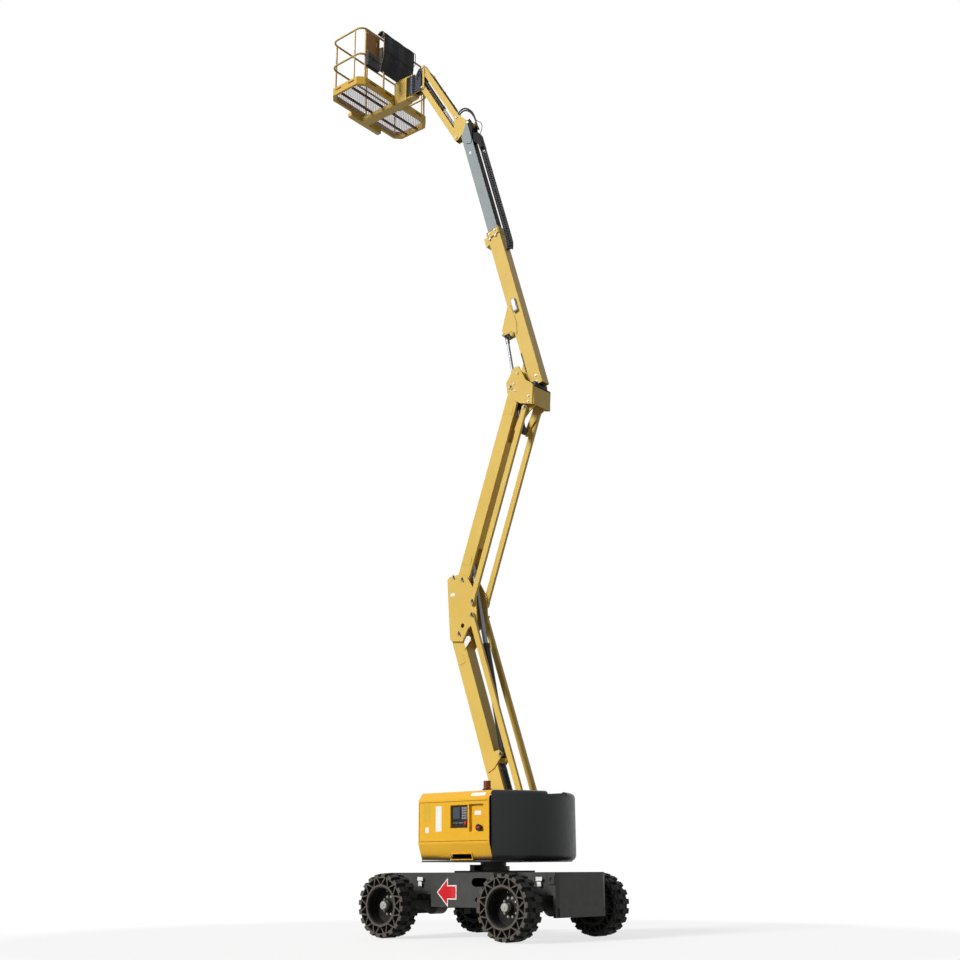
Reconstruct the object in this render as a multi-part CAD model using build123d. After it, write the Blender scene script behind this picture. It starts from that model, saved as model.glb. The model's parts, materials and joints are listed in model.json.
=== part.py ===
from build123d import *

import os
from math import atan2, cos, degrees, hypot, pi, radians, sin

# Articulating boom lift: a self-propelled work platform on a wheeled chassis, with a two-arm
# parallelogram riser, a telescopic main boom and a parallelogram jib. Millimetres.
# +X is the direction of travel, +Y the machine's left and +Z up. While a piece is drawn, the
# slewing axis is x = y = 0 and the ground is z = 0; export() then moves every piece by X_SHIFT,
# which puts the origin on the ground below the middle of the whole machine.
# The booms are drawn raised. A member's "along" runs up it from its lower pivot, and its
# "across" is square to that in the side view, positive on the side that faces the ground
# when the member is lowered forwards.

# ---------------------------------------------------------------- clearances
RUN_FIT = 0.08          # radial play of a hinge pin in its bore
EYE_FIT = 0.3           # radial play of the pin that closes a parallelogram
SEAT = 0.3              # gap between a fixed piece and its seat
SIDE_GAP = 15.0         # free width beside each riser arm

# ---------------------------------------------------------------- wheels and chassis
WHEELBASE = 2100.0
TRACK = 1980.0          # between the tyres' mid-planes
TYRE_R = 420.0          # to the lugs' tips
TYRE_W = 320.0
LUG_H = 36.0
LUG_COUNT = 20          # per half of the tread
LUG_SHARE = 0.55        # share of a pitch that the lug fills
SHOULDER_DROP = 10.0    # the outer lug rows are this much lower
SHOULDER_W = 62.0       # width of the outer rows, which hold the sidewall pockets
POCKET_COUNT = 12       # pairs of triangular sidewall pockets
POCKET_R_IN = 276.0
POCKET_R_OUT = 362.0
POCKET_RIB = 15.0
RIM_R = 245.0
RIM_WALL = 14.0
DISC_T = 24.0
DISC_SET = 20.0         # the disc's outer face, inboard of the tyre's mid-plane
HUB_R = 78.0
HUB_OUT = 62.0          # the hub's nose, outboard of the disc
SPINDLE_R = 40.0
KINGPIN_IN = 230.0      # the kingpin, inboard of the tyre's mid-plane
KINGPIN_R = 28.0
STEER_ANGLE = 25.0

CHASSIS_TOP = 845.0
CHASSIS_BOTTOM = 400.0
CHASSIS_WALL = 15.0
CHASSIS_SKIRT = 285.0   # lower edge of the end plates
CHASSIS_END_X = 1480.0
CHASSIS_END_W = 1120.0
CHASSIS_MID_W = 1440.0
CHASSIS_MID_X = 545.0   # half length of the wide middle part
CHASSIS_NECK_X = 640.0  # where the narrow ends start
CHASSIS_NECK_W = 1040.0
AXLE_TUNNEL_TOP = 560.0
AXLE_BEAM = 120.0
DIFF_R = 135.0

SLEW_R = 225.0
TURRET_Z = 985.0

# ---------------------------------------------------------------- turret
HOOD_TOP = 1890.0
HOOD_X = (-695.0, 570.0)
HOOD_Y = (238.0, 950.0)
HOOD_WALL = 6.0
HOOD_CREASE = (1212.0, 1788.0)
HOOD_FOOT_IN = 82.0
HOOD_HEAD_IN = 70.0
DECK_T = 20.0
CHEEK_IN = 196.0        # inner faces of the turret's two cheek plates
CHEEK_T = 16.0
WEIGHT_FRONT = -701.0
WEIGHT_TAIL_R = 1150.0
WEIGHT_SLOT_X = -985.0
WALL_Y = 227.0          # the engine bay's inner wall
WALL_T = 5.0
HINGE_Y = 228.5         # the hoods' hinge pins
HINGE_Z = 1883.0
HINGE_R = 9.0
HINGE_PIN_R = 4.0
HINGE_L = 50.0
HINGE_SPREAD = 380.0
HINGE_SIDE = 0.5        # free play beside a hinge knuckle
PANEL_X = (-326.0, -28.0)
PANEL_Z = (1410.0, 1706.0)
PANEL_DEPTH = 60.0
NICHE_X = (-600.0, -353.0)
NICHE_Z = (1360.0, 1712.0)
BEACON_AT = (-300.0, 500.0)

# ---------------------------------------------------------------- riser
RISER_HALF_W = 100.0
RISER_WALL = 8.0
PIN_R = 32.0
LOWER_FOOT = (-488.0, 1150.0)
LOWER_ANGLE = 71.6
LOWER_LEN = 3231.0
LOWER_ACROSS = (-53.0, 168.0)
ROD_OFFSET = (-284.0, 240.0)        # lower rods' pivots from the lower arm's
UPPER_ROD_FOOT = (-293.0, 441.0)    # from the knee pivot
UPPER_FOOT = (-59.0, 811.0)         # from the knee pivot
UPPER_ANGLE = 110.2
UPPER_LEN = 2979.0
UPPER_ACROSS = (-110.0, 110.0)
UPPER_SLOT_LOW = 520.0              # end of the root slot, along the arm
UPPER_SLOT_HIGH = 2180.0            # start of the head slot
SLOT_HALF_W = 62.0
KNEE_PLATE_T = 20.0
ROD_HALF_DEPTH = 45.0
ROD_EYE_R = 48.0
ROD_IN = 140.0
ROD_OUT = 185.0
RISER_CYL_FOOT = (1302.0, -139.0)   # on the lower arm, along and across
RISER_CYL_HEAD = (249.0, -28.0)     # on the upper arm
RISER_BARREL_R = 55.0
RISER_BARREL_LEN = 1640.0
RISER_ROD_R = 36.0
RISER_STROKE = 1090.0

# ---------------------------------------------------------------- hydraulic cylinders
BARREL_NECK = 40.0      # from the foot pin's surface to the barrel
BARREL_EYE = 20.0       # the foot eye's wall
BARREL_END = 15.0       # the barrel's end wall
GLAND_L = 60.0
GLAND_UP = 5.0
ROD_SPARE = 10.0        # left between a closed rod and its barrel's end wall
ROD_HEAD_L = 125.0
ROD_HEAD_UP = 8.0
ROD_EYE_UP = 13.0       # the rod eye's wall

# ---------------------------------------------------------------- head link and main boom
BOOM_PIVOT = (-150.0, 195.0)        # from the upper arm's head pivot
HEAD_PLATE_IN = 205.0
HEAD_PLATE_T = 20.0
HEAD_LUG_IN = 112.0
BOOM_ANGLE = 74.0
BOOM_HALF_W = 85.0
BOOM_WALL = 8.0
BOOM_ALONG = (-271.0, 2715.0)
BOOM_ACROSS = (-299.0, -64.0)
BOOM_CYL_FOOT = (-70.0, -652.0)     # from the upper arm's head pivot
BOOM_CYL_HEAD = (861.0, 138.0)      # on the boom, along and across
BOOM_BARREL_R = 45.0
BOOM_BARREL_LEN = 880.0
BOOM_ROD_R = 24.0
BOOM_STROKE = 526.0
FLY_HALF_W = 65.0
FLY_WALL = 6.0
FLY_ALONG = (2095.0, 4795.0)
FLY_ACROSS = (-276.0, -86.0)
FLY_PIVOT = (4955.0, -294.0)
FLY_CHEEK_T = 12.0
CARRIER_DROP = 450.0                # the carrier's top, below the fly boom's end
CARRIER_FOOT = 2330.0

# ---------------------------------------------------------------- jib
JIB_LOW_FOOT = (267.0, -174.0)      # lower bar's pivot, from the fly boom's tip pivot
JIB_SPREAD = 395.0                  # upper bar's pivots above the lower bar's
JIB_ANGLE = 59.3
JIB_LEN = 1555.0
JIB_HALF_DEPTH = 50.0
JIB_HALF_W = 46.0
JIB_WALL = 5.0
JIB_PLATE_IN = 51.0
JIB_PLATE_T = 8.0
JIB_PIN_R = 20.0
JIB_CYL_FOOT = (0.0, 155.0)         # from the lower bar's foot pivot
JIB_CYL_HEAD = (1500.0, 105.0)      # on the upper bar
JIB_LUG_Y = (26.0, 34.0)            # the barrel's lugs on the upper bar
JIB_BARREL_R = 30.0
JIB_BARREL_LEN = 1040.0
JIB_ROD_R = 16.0
JIB_STROKE = 455.0

# ---------------------------------------------------------------- platform
ROTATOR_X = 250.0                   # from the jib's head pivots
ROTATOR_R = 95.0
ROTATOR_DROP = 65.0     # the rotary actuator's ends, below the jib's head pivots
SPINDLE_PIN_R = 30.0
YOKE_SIDE = 5.0         # free height above and below the actuator
YOKE_PLATE = 20.0
YOKE_GAP = 30.0
YOKE_HALF_W = 72.0
YOKE_T = 8.0
ARM_HALF_W = 90.0
BASKET_REAR = 676.0                 # tray's rear edge, from the jib's head pivots
BASKET_D = 800.0
BASKET_W = 1800.0
BASKET_FLOOR = 14000.0
TRAY_H = 150.0
TRAY_WALL = 5.0
TRAY_CORNER = 110.0
RAIL_TOP = 15150.0
RAIL_MID = 14620.0
RAIL_R = 17.5
RAIL_Y_IN = 20.0        # the rail loops, inboard of the tray's sides
RAIL_BEND = 130.0
POST_IN = 12.0          # the posts stand this much inboard of the rail loops
POSTS = [(1, 770), (0, 770), (1, -770), (0, -770), (0, 300), (0, -300), (1, 0)]  # end, y
FLOOR_UP = 30.0         # height of the floor's frame
FLOOR_T = 4.0
GUARD_Y = (-300.0, 300.0)
GUARD_OUT = 62.0
GUARD_Z = (14960.0, 15230.0)
GUARD_R = 9.0
GUARD_BEND = 60.0
CONSOLE_HALF_W = 330.0
COVER_FOOT = 14470.0
COVER_Y = (-370.0, 440.0)
PLATE_T = 10.0
PLATE_Y = (450.0, 785.0)
BOX_Y = (500.0, 790.0)
BOX_H = 220.0
BOX_DEPTH = 62.0
BEAM_Y = (-420.0, 340.0)
BEAM_W = 90.0
BEAM_H = 80.0

# ---------------------------------------------------------------- derived
HALF_BASE = WHEELBASE / 2
HALF_TRACK = TRACK / 2


class Member:
    """A straight member in the side view, from its lower pivot and its angle to the ground."""

    def __init__(self, foot, angle):
        self.x, self.z = foot
        self.angle = angle
        self.c = cos(radians(angle))
        self.s = sin(radians(angle))

    def at(self, along, across=0.0):
        """Side-view point from a distance along the member and one across it."""
        return (self.x + along * self.c + across * self.s, self.z + along * self.s - across * self.c)

    def points(self, pairs):
        return [self.at(*pair) for pair in pairs]


def add(point, offset):
    return (point[0] + offset[0], point[1] + offset[1])


def between(foot, head):
    """The member that joins two side-view points, and its length."""
    dx, dz = head[0] - foot[0], head[1] - foot[1]
    return Member(foot, degrees(atan2(dz, dx))), hypot(dx, dz)


LOWER = Member(LOWER_FOOT, LOWER_ANGLE)
KNEE = LOWER.at(LOWER_LEN)
LOWER_ROD = Member(add(LOWER_FOOT, ROD_OFFSET), LOWER_ANGLE)
UPPER = Member(add(KNEE, UPPER_FOOT), UPPER_ANGLE)
UPPER_ROD = Member(add(KNEE, UPPER_ROD_FOOT), UPPER_ANGLE)
HEAD = UPPER.at(UPPER_LEN)
ROD_HEAD = UPPER_ROD.at(UPPER_LEN)
RISER_CYL, RISER_CYL_LEN = between(LOWER.at(*RISER_CYL_FOOT), UPPER.at(*RISER_CYL_HEAD))
BOOM = Member(add(HEAD, BOOM_PIVOT), BOOM_ANGLE)
BOOM_CYL, BOOM_CYL_LEN = between(add(HEAD, BOOM_CYL_FOOT), BOOM.at(*BOOM_CYL_HEAD))
TIP = BOOM.at(*FLY_PIVOT)
JIB_LOW = Member(add(TIP, JIB_LOW_FOOT), JIB_ANGLE)
JIB_UP = Member(add((JIB_LOW.x, JIB_LOW.z), (0.0, JIB_SPREAD)), JIB_ANGLE)
JIB_HEAD_LOW = JIB_LOW.at(JIB_LEN)
JIB_HEAD_UP = JIB_UP.at(JIB_LEN)
JIB_CYL, JIB_CYL_LEN = between(JIB_UP.at(*JIB_CYL_HEAD), add((JIB_LOW.x, JIB_LOW.z), JIB_CYL_FOOT))
ROTATOR = JIB_HEAD_LOW[0] + ROTATOR_X
BASKET_X = (JIB_HEAD_LOW[0] + BASKET_REAR, JIB_HEAD_LOW[0] + BASKET_REAR + BASKET_D)
BEAM_X = (BASKET_X[1] - BEAM_W / 4, BASKET_X[1] + BEAM_W * 3 / 4)
X_SHIFT = (CHASSIS_END_X - BEAM_X[1]) / 2


# ---------------------------------------------------------------- shape helpers
def side(points, y0, y1):
    """Prism across the machine, from side-view points."""
    outline = Polyline(*[(x, y0, z) for x, z in points], close=True)
    return extrude(make_face(outline), amount=y1 - y0, dir=(0, 1, 0))


def plan(points, z0, z1):
    """Prism upwards, from plan-view points."""
    outline = Polyline(*[(x, y, z0) for x, y in points], close=True)
    return extrude(make_face(outline), amount=z1 - z0, dir=(0, 0, 1))


def section(points, x0, x1):
    """Prism along the machine, from points in the view from behind."""
    outline = Polyline(*[(x0, y, z) for y, z in points], close=True)
    return extrude(make_face(outline), amount=x1 - x0, dir=(1, 0, 0))


def block(x, y, z):
    """Box from three (low, high) pairs."""
    return plan([(x[0], y[0]), (x[1], y[0]), (x[1], y[1]), (x[0], y[1])], z[0], z[1])


def strip(member, along, across, y0, y1):
    """Straight bar of rectangular section on a member."""
    (a0, a1), (c0, c1) = along, across
    return side(member.points([(a0, c0), (a1, c0), (a1, c1), (a0, c1)]), y0, y1)


def cross_pin(at, radius, y0, y1):
    """Round bar across the machine."""
    return extrude(Plane((at[0], y0, at[1]), x_dir=(1, 0, 0), z_dir=(0, 1, 0)) * Circle(radius), amount=y1 - y0)


def round_bar(member, along, radius, y=0.0):
    """Round bar along a member."""
    x, z = member.at(along[0])
    return extrude(
        Plane((x, y, z), x_dir=(0, 1, 0), z_dir=(member.c, 0, member.s)) * Circle(radius),
        amount=along[1] - along[0],
    )


def upright(x, y, radius, z0, z1):
    """Round bar upwards."""
    return Pos(x, y, z0) * extrude(Circle(radius), amount=z1 - z0)


def mirrored(solid):
    return mirror(solid, about=Plane.XZ)


def pair(solid):
    """A piece and its mirror image on the other side of the machine."""
    return solid + mirrored(solid)


def eye_bar(foot, head, half_depth, eye_r, y0, y1):
    """Bar with a round eye at each end, without its bores."""
    member, length = between(foot, head)
    bar = strip(member, (0.0, length), (-half_depth, half_depth), y0, y1)
    return bar + cross_pin(foot, eye_r, y0, y1) + cross_pin(head, eye_r, y0, y1)


def pipe(points, radius, bend, close=False):
    """Round tube along straight runs with rounded corners."""
    path = FilletPolyline(*points, radius=bend, close=close)
    start = path.position_at(0)
    return sweep(Plane(start, z_dir=path.tangent_at(0)) * Circle(radius), path=path)


def box_tube(member, along, across, half_w, wall):
    """Rectangular tube on a member, open at both ends."""
    outer = strip(member, along, across, -half_w, half_w)
    bore = strip(
        member,
        (along[0] - 1, along[1] + 1),
        (across[0] + wall, across[1] - wall),
        -half_w + wall,
        half_w - wall,
    )
    return outer - bore


# ---------------------------------------------------------------- wheels
def toothed_ring(tip_r, phase, y0, y1):
    """Slice of the tread: straight-sided lugs round a cylinder."""
    pitch = 2 * pi / LUG_COUNT
    points = []
    for i in range(LUG_COUNT):
        start = phase + i * pitch
        for share, radius in ((0.0, tip_r - LUG_H), (0.04, tip_r), (LUG_SHARE, tip_r), (LUG_SHARE + 0.06, tip_r - LUG_H)):
            angle = start + share * pitch
            points.append((radius * cos(angle), radius * sin(angle)))
    return side(points, y0, y1)


def sidewall_pockets(y0, y1):
    """Triangular pockets that point in and out by turns round the sidewall."""
    pitch = 2 * pi / POCKET_COUNT
    half = pitch / 2 - POCKET_RIB / POCKET_R_OUT
    tip = POCKET_RIB * 0.4 / POCKET_R_IN
    pockets = []
    for i in range(POCKET_COUNT):
        for turn, wide_r, narrow_r in ((0.0, POCKET_R_OUT, POCKET_R_IN), (pitch / 2, POCKET_R_IN, POCKET_R_OUT)):
            middle = i * pitch + turn
            wide = half * (0.86 if wide_r == POCKET_R_IN else 0.8)
            corners = [(wide_r, middle - wide), (wide_r, middle + wide), (narrow_r, middle + tip), (narrow_r, middle - tip)]
            pockets.append(side([(r * cos(a), r * sin(a)) for r, a in corners], y0, y1))
    return pockets


def tyre():
    """One tyre about the Y axis, its mid-plane at y = 0."""
    half = TYRE_W / 2
    pitch = 2 * pi / LUG_COUNT
    shoulder_r = TYRE_R - SHOULDER_DROP
    solid = toothed_ring(TYRE_R, 0.0, 0.0, half - SHOULDER_W)
    solid += toothed_ring(TYRE_R, pitch / 2, -half + SHOULDER_W, 0.0)
    for y0, y1, phase in ((half - SHOULDER_W, half, 0.0), (-half, -half + SHOULDER_W, pitch / 2)):
        row = toothed_ring(shoulder_r, phase, y0, y1)
        for pocket in sidewall_pockets(y0, y1):
            row -= pocket
        solid += row
    return solid - cross_pin((0, 0), RIM_R, -half - 1, half + 1)


def rim():
    """One rim with its hub about the Y axis; +Y is outboard and y = 0 the tyre's mid-plane."""
    half = TYRE_W / 2 - 12
    seat_r = RIM_R - SEAT
    face = -DISC_SET
    profile = [
        (SPINDLE_R + RUN_FIT, face - DISC_T - 60),
        (HUB_R, face - DISC_T - 60),
        (HUB_R, face - DISC_T),
        (seat_r - RIM_WALL, face - DISC_T),
        (seat_r - RIM_WALL, -half),
        (seat_r, -half),
        (seat_r, half),
        (seat_r - RIM_WALL, half),
        (seat_r - RIM_WALL, face),
        (HUB_R + 40, face),
        (HUB_R, face + 20),
        (HUB_R - 14, face + HUB_OUT),
        (0, face + HUB_OUT),
        (0, face + 10),
        (SPINDLE_R + RUN_FIT, face + 10),
    ]
    outline = Polyline(*[(r, y, 0) for r, y in profile], close=True)
    return revolve(make_face(outline), axis=Axis.Y)


def knuckle():
    """Left front knuckle about its kingpin, at the origin; +Y is outboard."""
    face = KINGPIN_IN - DISC_SET
    post = upright(0, 0, 48, -118, 118)
    flange = cross_pin((0, 0), 70, 30, 92)
    spindle = cross_pin((0, 0), SPINDLE_R, 92, face + 6)
    arm = block((-150, -20), (-22, 22), (-96, -72)) + upright(-150, 0, 24, -96, -72)
    body = post + flange + spindle + arm
    return body - upright(0, 0, KINGPIN_R + RUN_FIT, -130, 130)


def axle(sign):
    """Axle beam with its differential, yokes and kingpins."""
    x = sign * HALF_BASE
    kingpin_y = HALF_TRACK - KINGPIN_IN
    beam = block(
        (x - AXLE_BEAM / 2, x + AXLE_BEAM / 2),
        (-kingpin_y + 70, kingpin_y - 70),
        (TYRE_R - AXLE_BEAM / 2, TYRE_R + AXLE_BEAM / 2),
    )
    diff = cross_pin((x, TYRE_R), DIFF_R, -110, 110)
    yoke = block((x - 55, x + 55), (kingpin_y - 76, kingpin_y - 56), (TYRE_R - 150, TYRE_R + 150))
    for z0 in (TYRE_R + 124, TYRE_R - 150):
        yoke += block((x - 55, x + 55), (kingpin_y - 76, kingpin_y), (z0, z0 + 26))
        yoke += upright(x, kingpin_y, 55, z0, z0 + 26)
    yoke += upright(x, kingpin_y, KINGPIN_R, TYRE_R - 150, TYRE_R + 150)
    pad = block((x - 80, x + 80), (-200, 200), (TYRE_R + AXLE_BEAM / 2, AXLE_TUNNEL_TOP - SEAT))
    return beam + diff + pair(yoke) + pad


# ---------------------------------------------------------------- chassis
def chassis():
    """Welded chassis: a wide faceted middle, narrow ends and deep end plates."""
    mid, neck, end = CHASSIS_MID_W / 2, CHASSIS_NECK_W / 2, CHASSIS_END_W / 2
    quarter = [
        (CHASSIS_END_X, end - 60),
        (CHASSIS_END_X - 20, end),
        (CHASSIS_END_X - 130, end),
        (CHASSIS_END_X - 190, neck),
        (CHASSIS_NECK_X, neck),
        (CHASSIS_MID_X, mid - 40),
        (150.0, mid),
    ]
    left = quarter + [(-x, y) for x, y in reversed(quarter)]
    outline = left + [(x, -y) for x, y in reversed(left)]
    t = CHASSIS_WALL
    body = plan(outline, CHASSIS_BOTTOM, CHASSIS_TOP)
    face = offset(make_face(Polyline(*[(x, y, 0) for x, y in outline], close=True)), amount=-t)
    cavity = extrude(Pos(0, 0, CHASSIS_BOTTOM + t) * face, amount=CHASSIS_TOP - CHASSIS_BOTTOM - 2 * t)
    for sign in (1, -1):
        ends = sorted((sign * (CHASSIS_NECK_X + 60), sign * (CHASSIS_END_X - 60)))
        body -= block(ends, (-mid, mid), (CHASSIS_BOTTOM - 1, AXLE_TUNNEL_TOP))
        cavity -= block((ends[0] - t, ends[1] + t), (-mid, mid), (CHASSIS_BOTTOM - 1, AXLE_TUNNEL_TOP + t))
        faces = sorted((sign * (CHASSIS_END_X - 60), sign * CHASSIS_END_X))
        inner = sorted((sign * (CHASSIS_END_X - 60), sign * (CHASSIS_END_X - 20)))
        skirt = block(inner, (-end, end), (CHASSIS_SKIRT, CHASSIS_BOTTOM))
        skirt += block(faces, (-end + 60, end - 60), (CHASSIS_SKIRT, CHASSIS_BOTTOM))
        body += skirt
    body += plan(
        [(430, 330), (430, -330), (-470, -330), (-470, 330)],
        CHASSIS_TOP,
        CHASSIS_TOP + 22,
    )
    for y0, y1 in ((mid - 90, mid + 1), (-mid - 1, -mid + 90)):
        for x, z, half_l, radius in ((-325, 718, 70, 56), (-325, 498, 42, 30)):
            slot = block((x - half_l, x + half_l), (y0, y1), (z - radius, z + radius))
            slot += cross_pin((x - half_l, z), radius, y0, y1) + cross_pin((x + half_l, z), radius, y0, y1)
            body -= slot
    return body - cavity


def tie_eye(sx, sy):
    """Lashing plate on a chassis corner, with its hole."""
    x = sx * (CHASSIS_END_X - 75)
    y0, y1 = sorted((sy * (CHASSIS_END_W / 2 + SEAT), sy * (CHASSIS_END_W / 2 + SEAT + 16)))
    plate = block((x - 50, x + 50), (y0, y1), (CHASSIS_TOP - 150, CHASSIS_TOP - 40))
    return plate - cross_pin((x, CHASSIS_TOP - 95), 26, y0 - 1, y1 + 1)


def slew_ring():
    """Slewing bearing on the chassis, with its toothed outer ring."""
    z0 = CHASSIS_TOP + 22 + SEAT
    ring = upright(0, 0, SLEW_R, z0, z0 + 60) + upright(0, 0, SLEW_R - 45, z0 + 60, TURRET_Z - 5 - SEAT)
    return ring + block((95, 175), (SLEW_R - 90, SLEW_R + 75), (z0, z0 + 78))


# ---------------------------------------------------------------- turret
def deck_outline(x1, y1):
    """Deck's plan: square in front and cut away towards the tail weight."""
    y0, x0, x2 = y1 - 300, -940.0, -640.0
    return [(x1, y1), (x1, -y1), (x2, -y1), (x0, -y0), (x0, y0), (x2, y1)]


def hinge_spans():
    """Stretches of each hood's two hinge knuckles along the machine."""
    mid = (HOOD_X[0] + HOOD_X[1]) / 2
    return [(x - HINGE_L, x + HINGE_L) for x in (mid - HINGE_SPREAD, mid + HINGE_SPREAD)]


def cross_bar(at, radius, x0, x1):
    """Round bar along the machine, from its (y, z) centre."""
    y, z = at
    return extrude(Plane((x0, y, z), x_dir=(0, 1, 0), z_dir=(1, 0, 0)) * Circle(radius), amount=x1 - x0)


def turret_frame():
    """Deck, pedestal ring and the two cheek plates that carry the riser."""
    z1 = TURRET_Z + DECK_T
    deck = plan(
        deck_outline(HOOD_X[1] - HOOD_WALL - SEAT, HOOD_Y[1] - HOOD_FOOT_IN - HOOD_WALL - SEAT),
        TURRET_Z - 5,
        z1 - 5,
    )
    cheek_points = [
        (-930, z1 - 5),
        (-930, 1480),
        (LOWER_ROD.x - 80, LOWER_ROD.z + 90),
        (LOWER_ROD.x + 90, LOWER_ROD.z + 90),
        (LOWER_FOOT[0] + 110, LOWER_FOOT[1] + 110),
        (LOWER_FOOT[0] + 300, z1 + 60),
        (520, z1 + 60),
        (520, z1 - 5),
    ]
    cheek = side(cheek_points, CHEEK_IN, CHEEK_IN + CHEEK_T)
    wall = block((WEIGHT_FRONT + 6, HOOD_X[1] - 15), (WALL_Y, WALL_Y + WALL_T), (z1 - 5, HOOD_TOP - 20))
    for x0, x1 in hinge_spans():
        for end in (x0 - HINGE_L, x1):
            wall += cross_bar((HINGE_Y, HINGE_Z), HINGE_R, end, end + HINGE_L)
            wall += block((end, end + HINGE_L), (WALL_Y, WALL_Y + WALL_T), (HOOD_TOP - 21, HINGE_Z - HINGE_R / 2))
        wall += cross_bar((HINGE_Y, HINGE_Z), HINGE_PIN_R, x0 - 1, x1 + 1)
    frame = deck + pair(cheek) + pair(wall)
    for at, radius in ((LOWER_FOOT, PIN_R + 3), ((LOWER_ROD.x, LOWER_ROD.z), PIN_R)):
        frame += cross_pin(at, radius, -CHEEK_IN - CHEEK_T - 10, CHEEK_IN + CHEEK_T + 10)
    return frame


def counterweight():
    """Cast tail weight that wraps the turret's rear, with the riser's slot."""
    face_y = (WEIGHT_TAIL_R**2 - WEIGHT_FRONT**2) ** 0.5
    shape = None
    for z0, z1, inset in (
        (TURRET_Z + 60, HOOD_TOP - 110, 0.0),
        (TURRET_Z, TURRET_Z + 60, 60.0),
        (HOOD_TOP - 110, HOOD_TOP - 40, 24.0),
        (HOOD_TOP - 40, HOOD_TOP, 70.0),
    ):
        tail_r = WEIGHT_TAIL_R - inset
        edge_y = min(face_y, (tail_r**2 - WEIGHT_FRONT**2) ** 0.5)
        arc = ThreePointArc((WEIGHT_FRONT, edge_y, z0), (-tail_r, 0, z0), (WEIGHT_FRONT, -edge_y, z0))
        chord = Line((WEIGHT_FRONT, -edge_y, z0), (WEIGHT_FRONT, edge_y, z0))
        layer = extrude(make_face(arc + chord), amount=z1 - z0, dir=(0, 0, 1))
        shape = layer if shape is None else shape + layer
    slot_y = CHEEK_IN + CHEEK_T + 10.5
    shape -= block((WEIGHT_SLOT_X, WEIGHT_FRONT + 1), (-slot_y, slot_y), (TURRET_Z - 1, HOOD_TOP + 1))
    shape -= plan(
        [(-945, 860), (-945, -860), (-600, -860), (-600, 860)],
        TURRET_Z - 10,
        TURRET_Z + DECK_T,
    )
    shape -= block((-1200, WEIGHT_SLOT_X + 1), (-slot_y, slot_y), (HOOD_TOP - 60, HOOD_TOP + 1))
    return shape


def hood_section(inset):
    """Hood's outline from behind, shrunk by a wall."""
    inner, outer = HOOD_Y[0] - (1 if inset else 0), HOOD_Y[1] - inset
    low, high = HOOD_CREASE
    top = HOOD_TOP - inset
    foot = TURRET_Z + 3
    return [
        (inner, foot if not inset else foot - 1),
        (outer - HOOD_FOOT_IN, foot if not inset else foot - 1),
        (outer, low),
        (outer, high),
        (outer - HOOD_HEAD_IN, top),
        (inner, top),
    ]


def hood(panel):
    """Left engine-bay hood; the ground controls' recess is cut on request."""
    x0, x1 = HOOD_X
    shell = section(hood_section(0.0), x0, x1)
    shell -= section(hood_section(HOOD_WALL), x0 - 1, x1 - HOOD_WALL)
    if panel:
        outer = HOOD_Y[1]
        for (ax, bx), (az, bz), depth in ((PANEL_X, PANEL_Z, PANEL_DEPTH), (NICHE_X, NICHE_Z, PANEL_DEPTH * 0.7)):
            w = HOOD_WALL
            shell += block((ax - w, bx + w), (outer - depth - w, outer - w / 2), (az - w, bz + w))
            shell -= block((ax, bx), (outer - depth, outer + 1), (az, bz))
    for a, b in hinge_spans():
        leaf = (a + HINGE_SIDE, b - HINGE_SIDE)
        shell += cross_bar((HINGE_Y, HINGE_Z), HINGE_R, *leaf)
        shell += block(leaf, (HINGE_Y, HOOD_Y[0] + HOOD_WALL), (HOOD_TOP - HOOD_WALL, HOOD_TOP))
        shell -= cross_bar((HINGE_Y, HINGE_Z), HINGE_PIN_R + RUN_FIT, a, b)
    return shell


def ground_panel():
    """Ground control panel in the hood's recess, with its knob."""
    face = HOOD_Y[1] - PANEL_DEPTH + SEAT
    x0, x1 = PANEL_X
    z0, z1 = PANEL_Z
    plate = block((x0 + 12, x1 - 12), (face, face + 24), (z0 + 12, z1 - 12))
    plate += block((x0 + 110, x1 - 40), (face + 24, face + 34), (z0 + 110, z1 - 30))
    for x in (x0 + 60, x0 + 120, x0 + 180, x0 + 240):
        plate += cross_pin((x, z0 + 60), 11, face + 24, face + 44)
    return plate


def stop_knob():
    """Battery isolator knob in the hood's second recess."""
    face = HOOD_Y[1] - PANEL_DEPTH * 0.7 + SEAT
    at = (NICHE_X[0] + 85, NICHE_Z[0] + 50)
    return cross_pin(at, 30, face, face + 30) + cross_pin(at, 42, face + 30, face + 58)


def engine_block():
    """Engine and pump as one plain mass under the right hood."""
    return block((-420, 380), (-800, -300), (TURRET_Z + DECK_T - 5 + SEAT, 1600))


def beacon():
    """Flashing beacon on the left hood."""
    x, y = BEACON_AT
    base = HOOD_TOP + SEAT
    return upright(x, y, 62, base, base + 44) + upright(x, y, 50, base + 44, base + 150)


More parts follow.
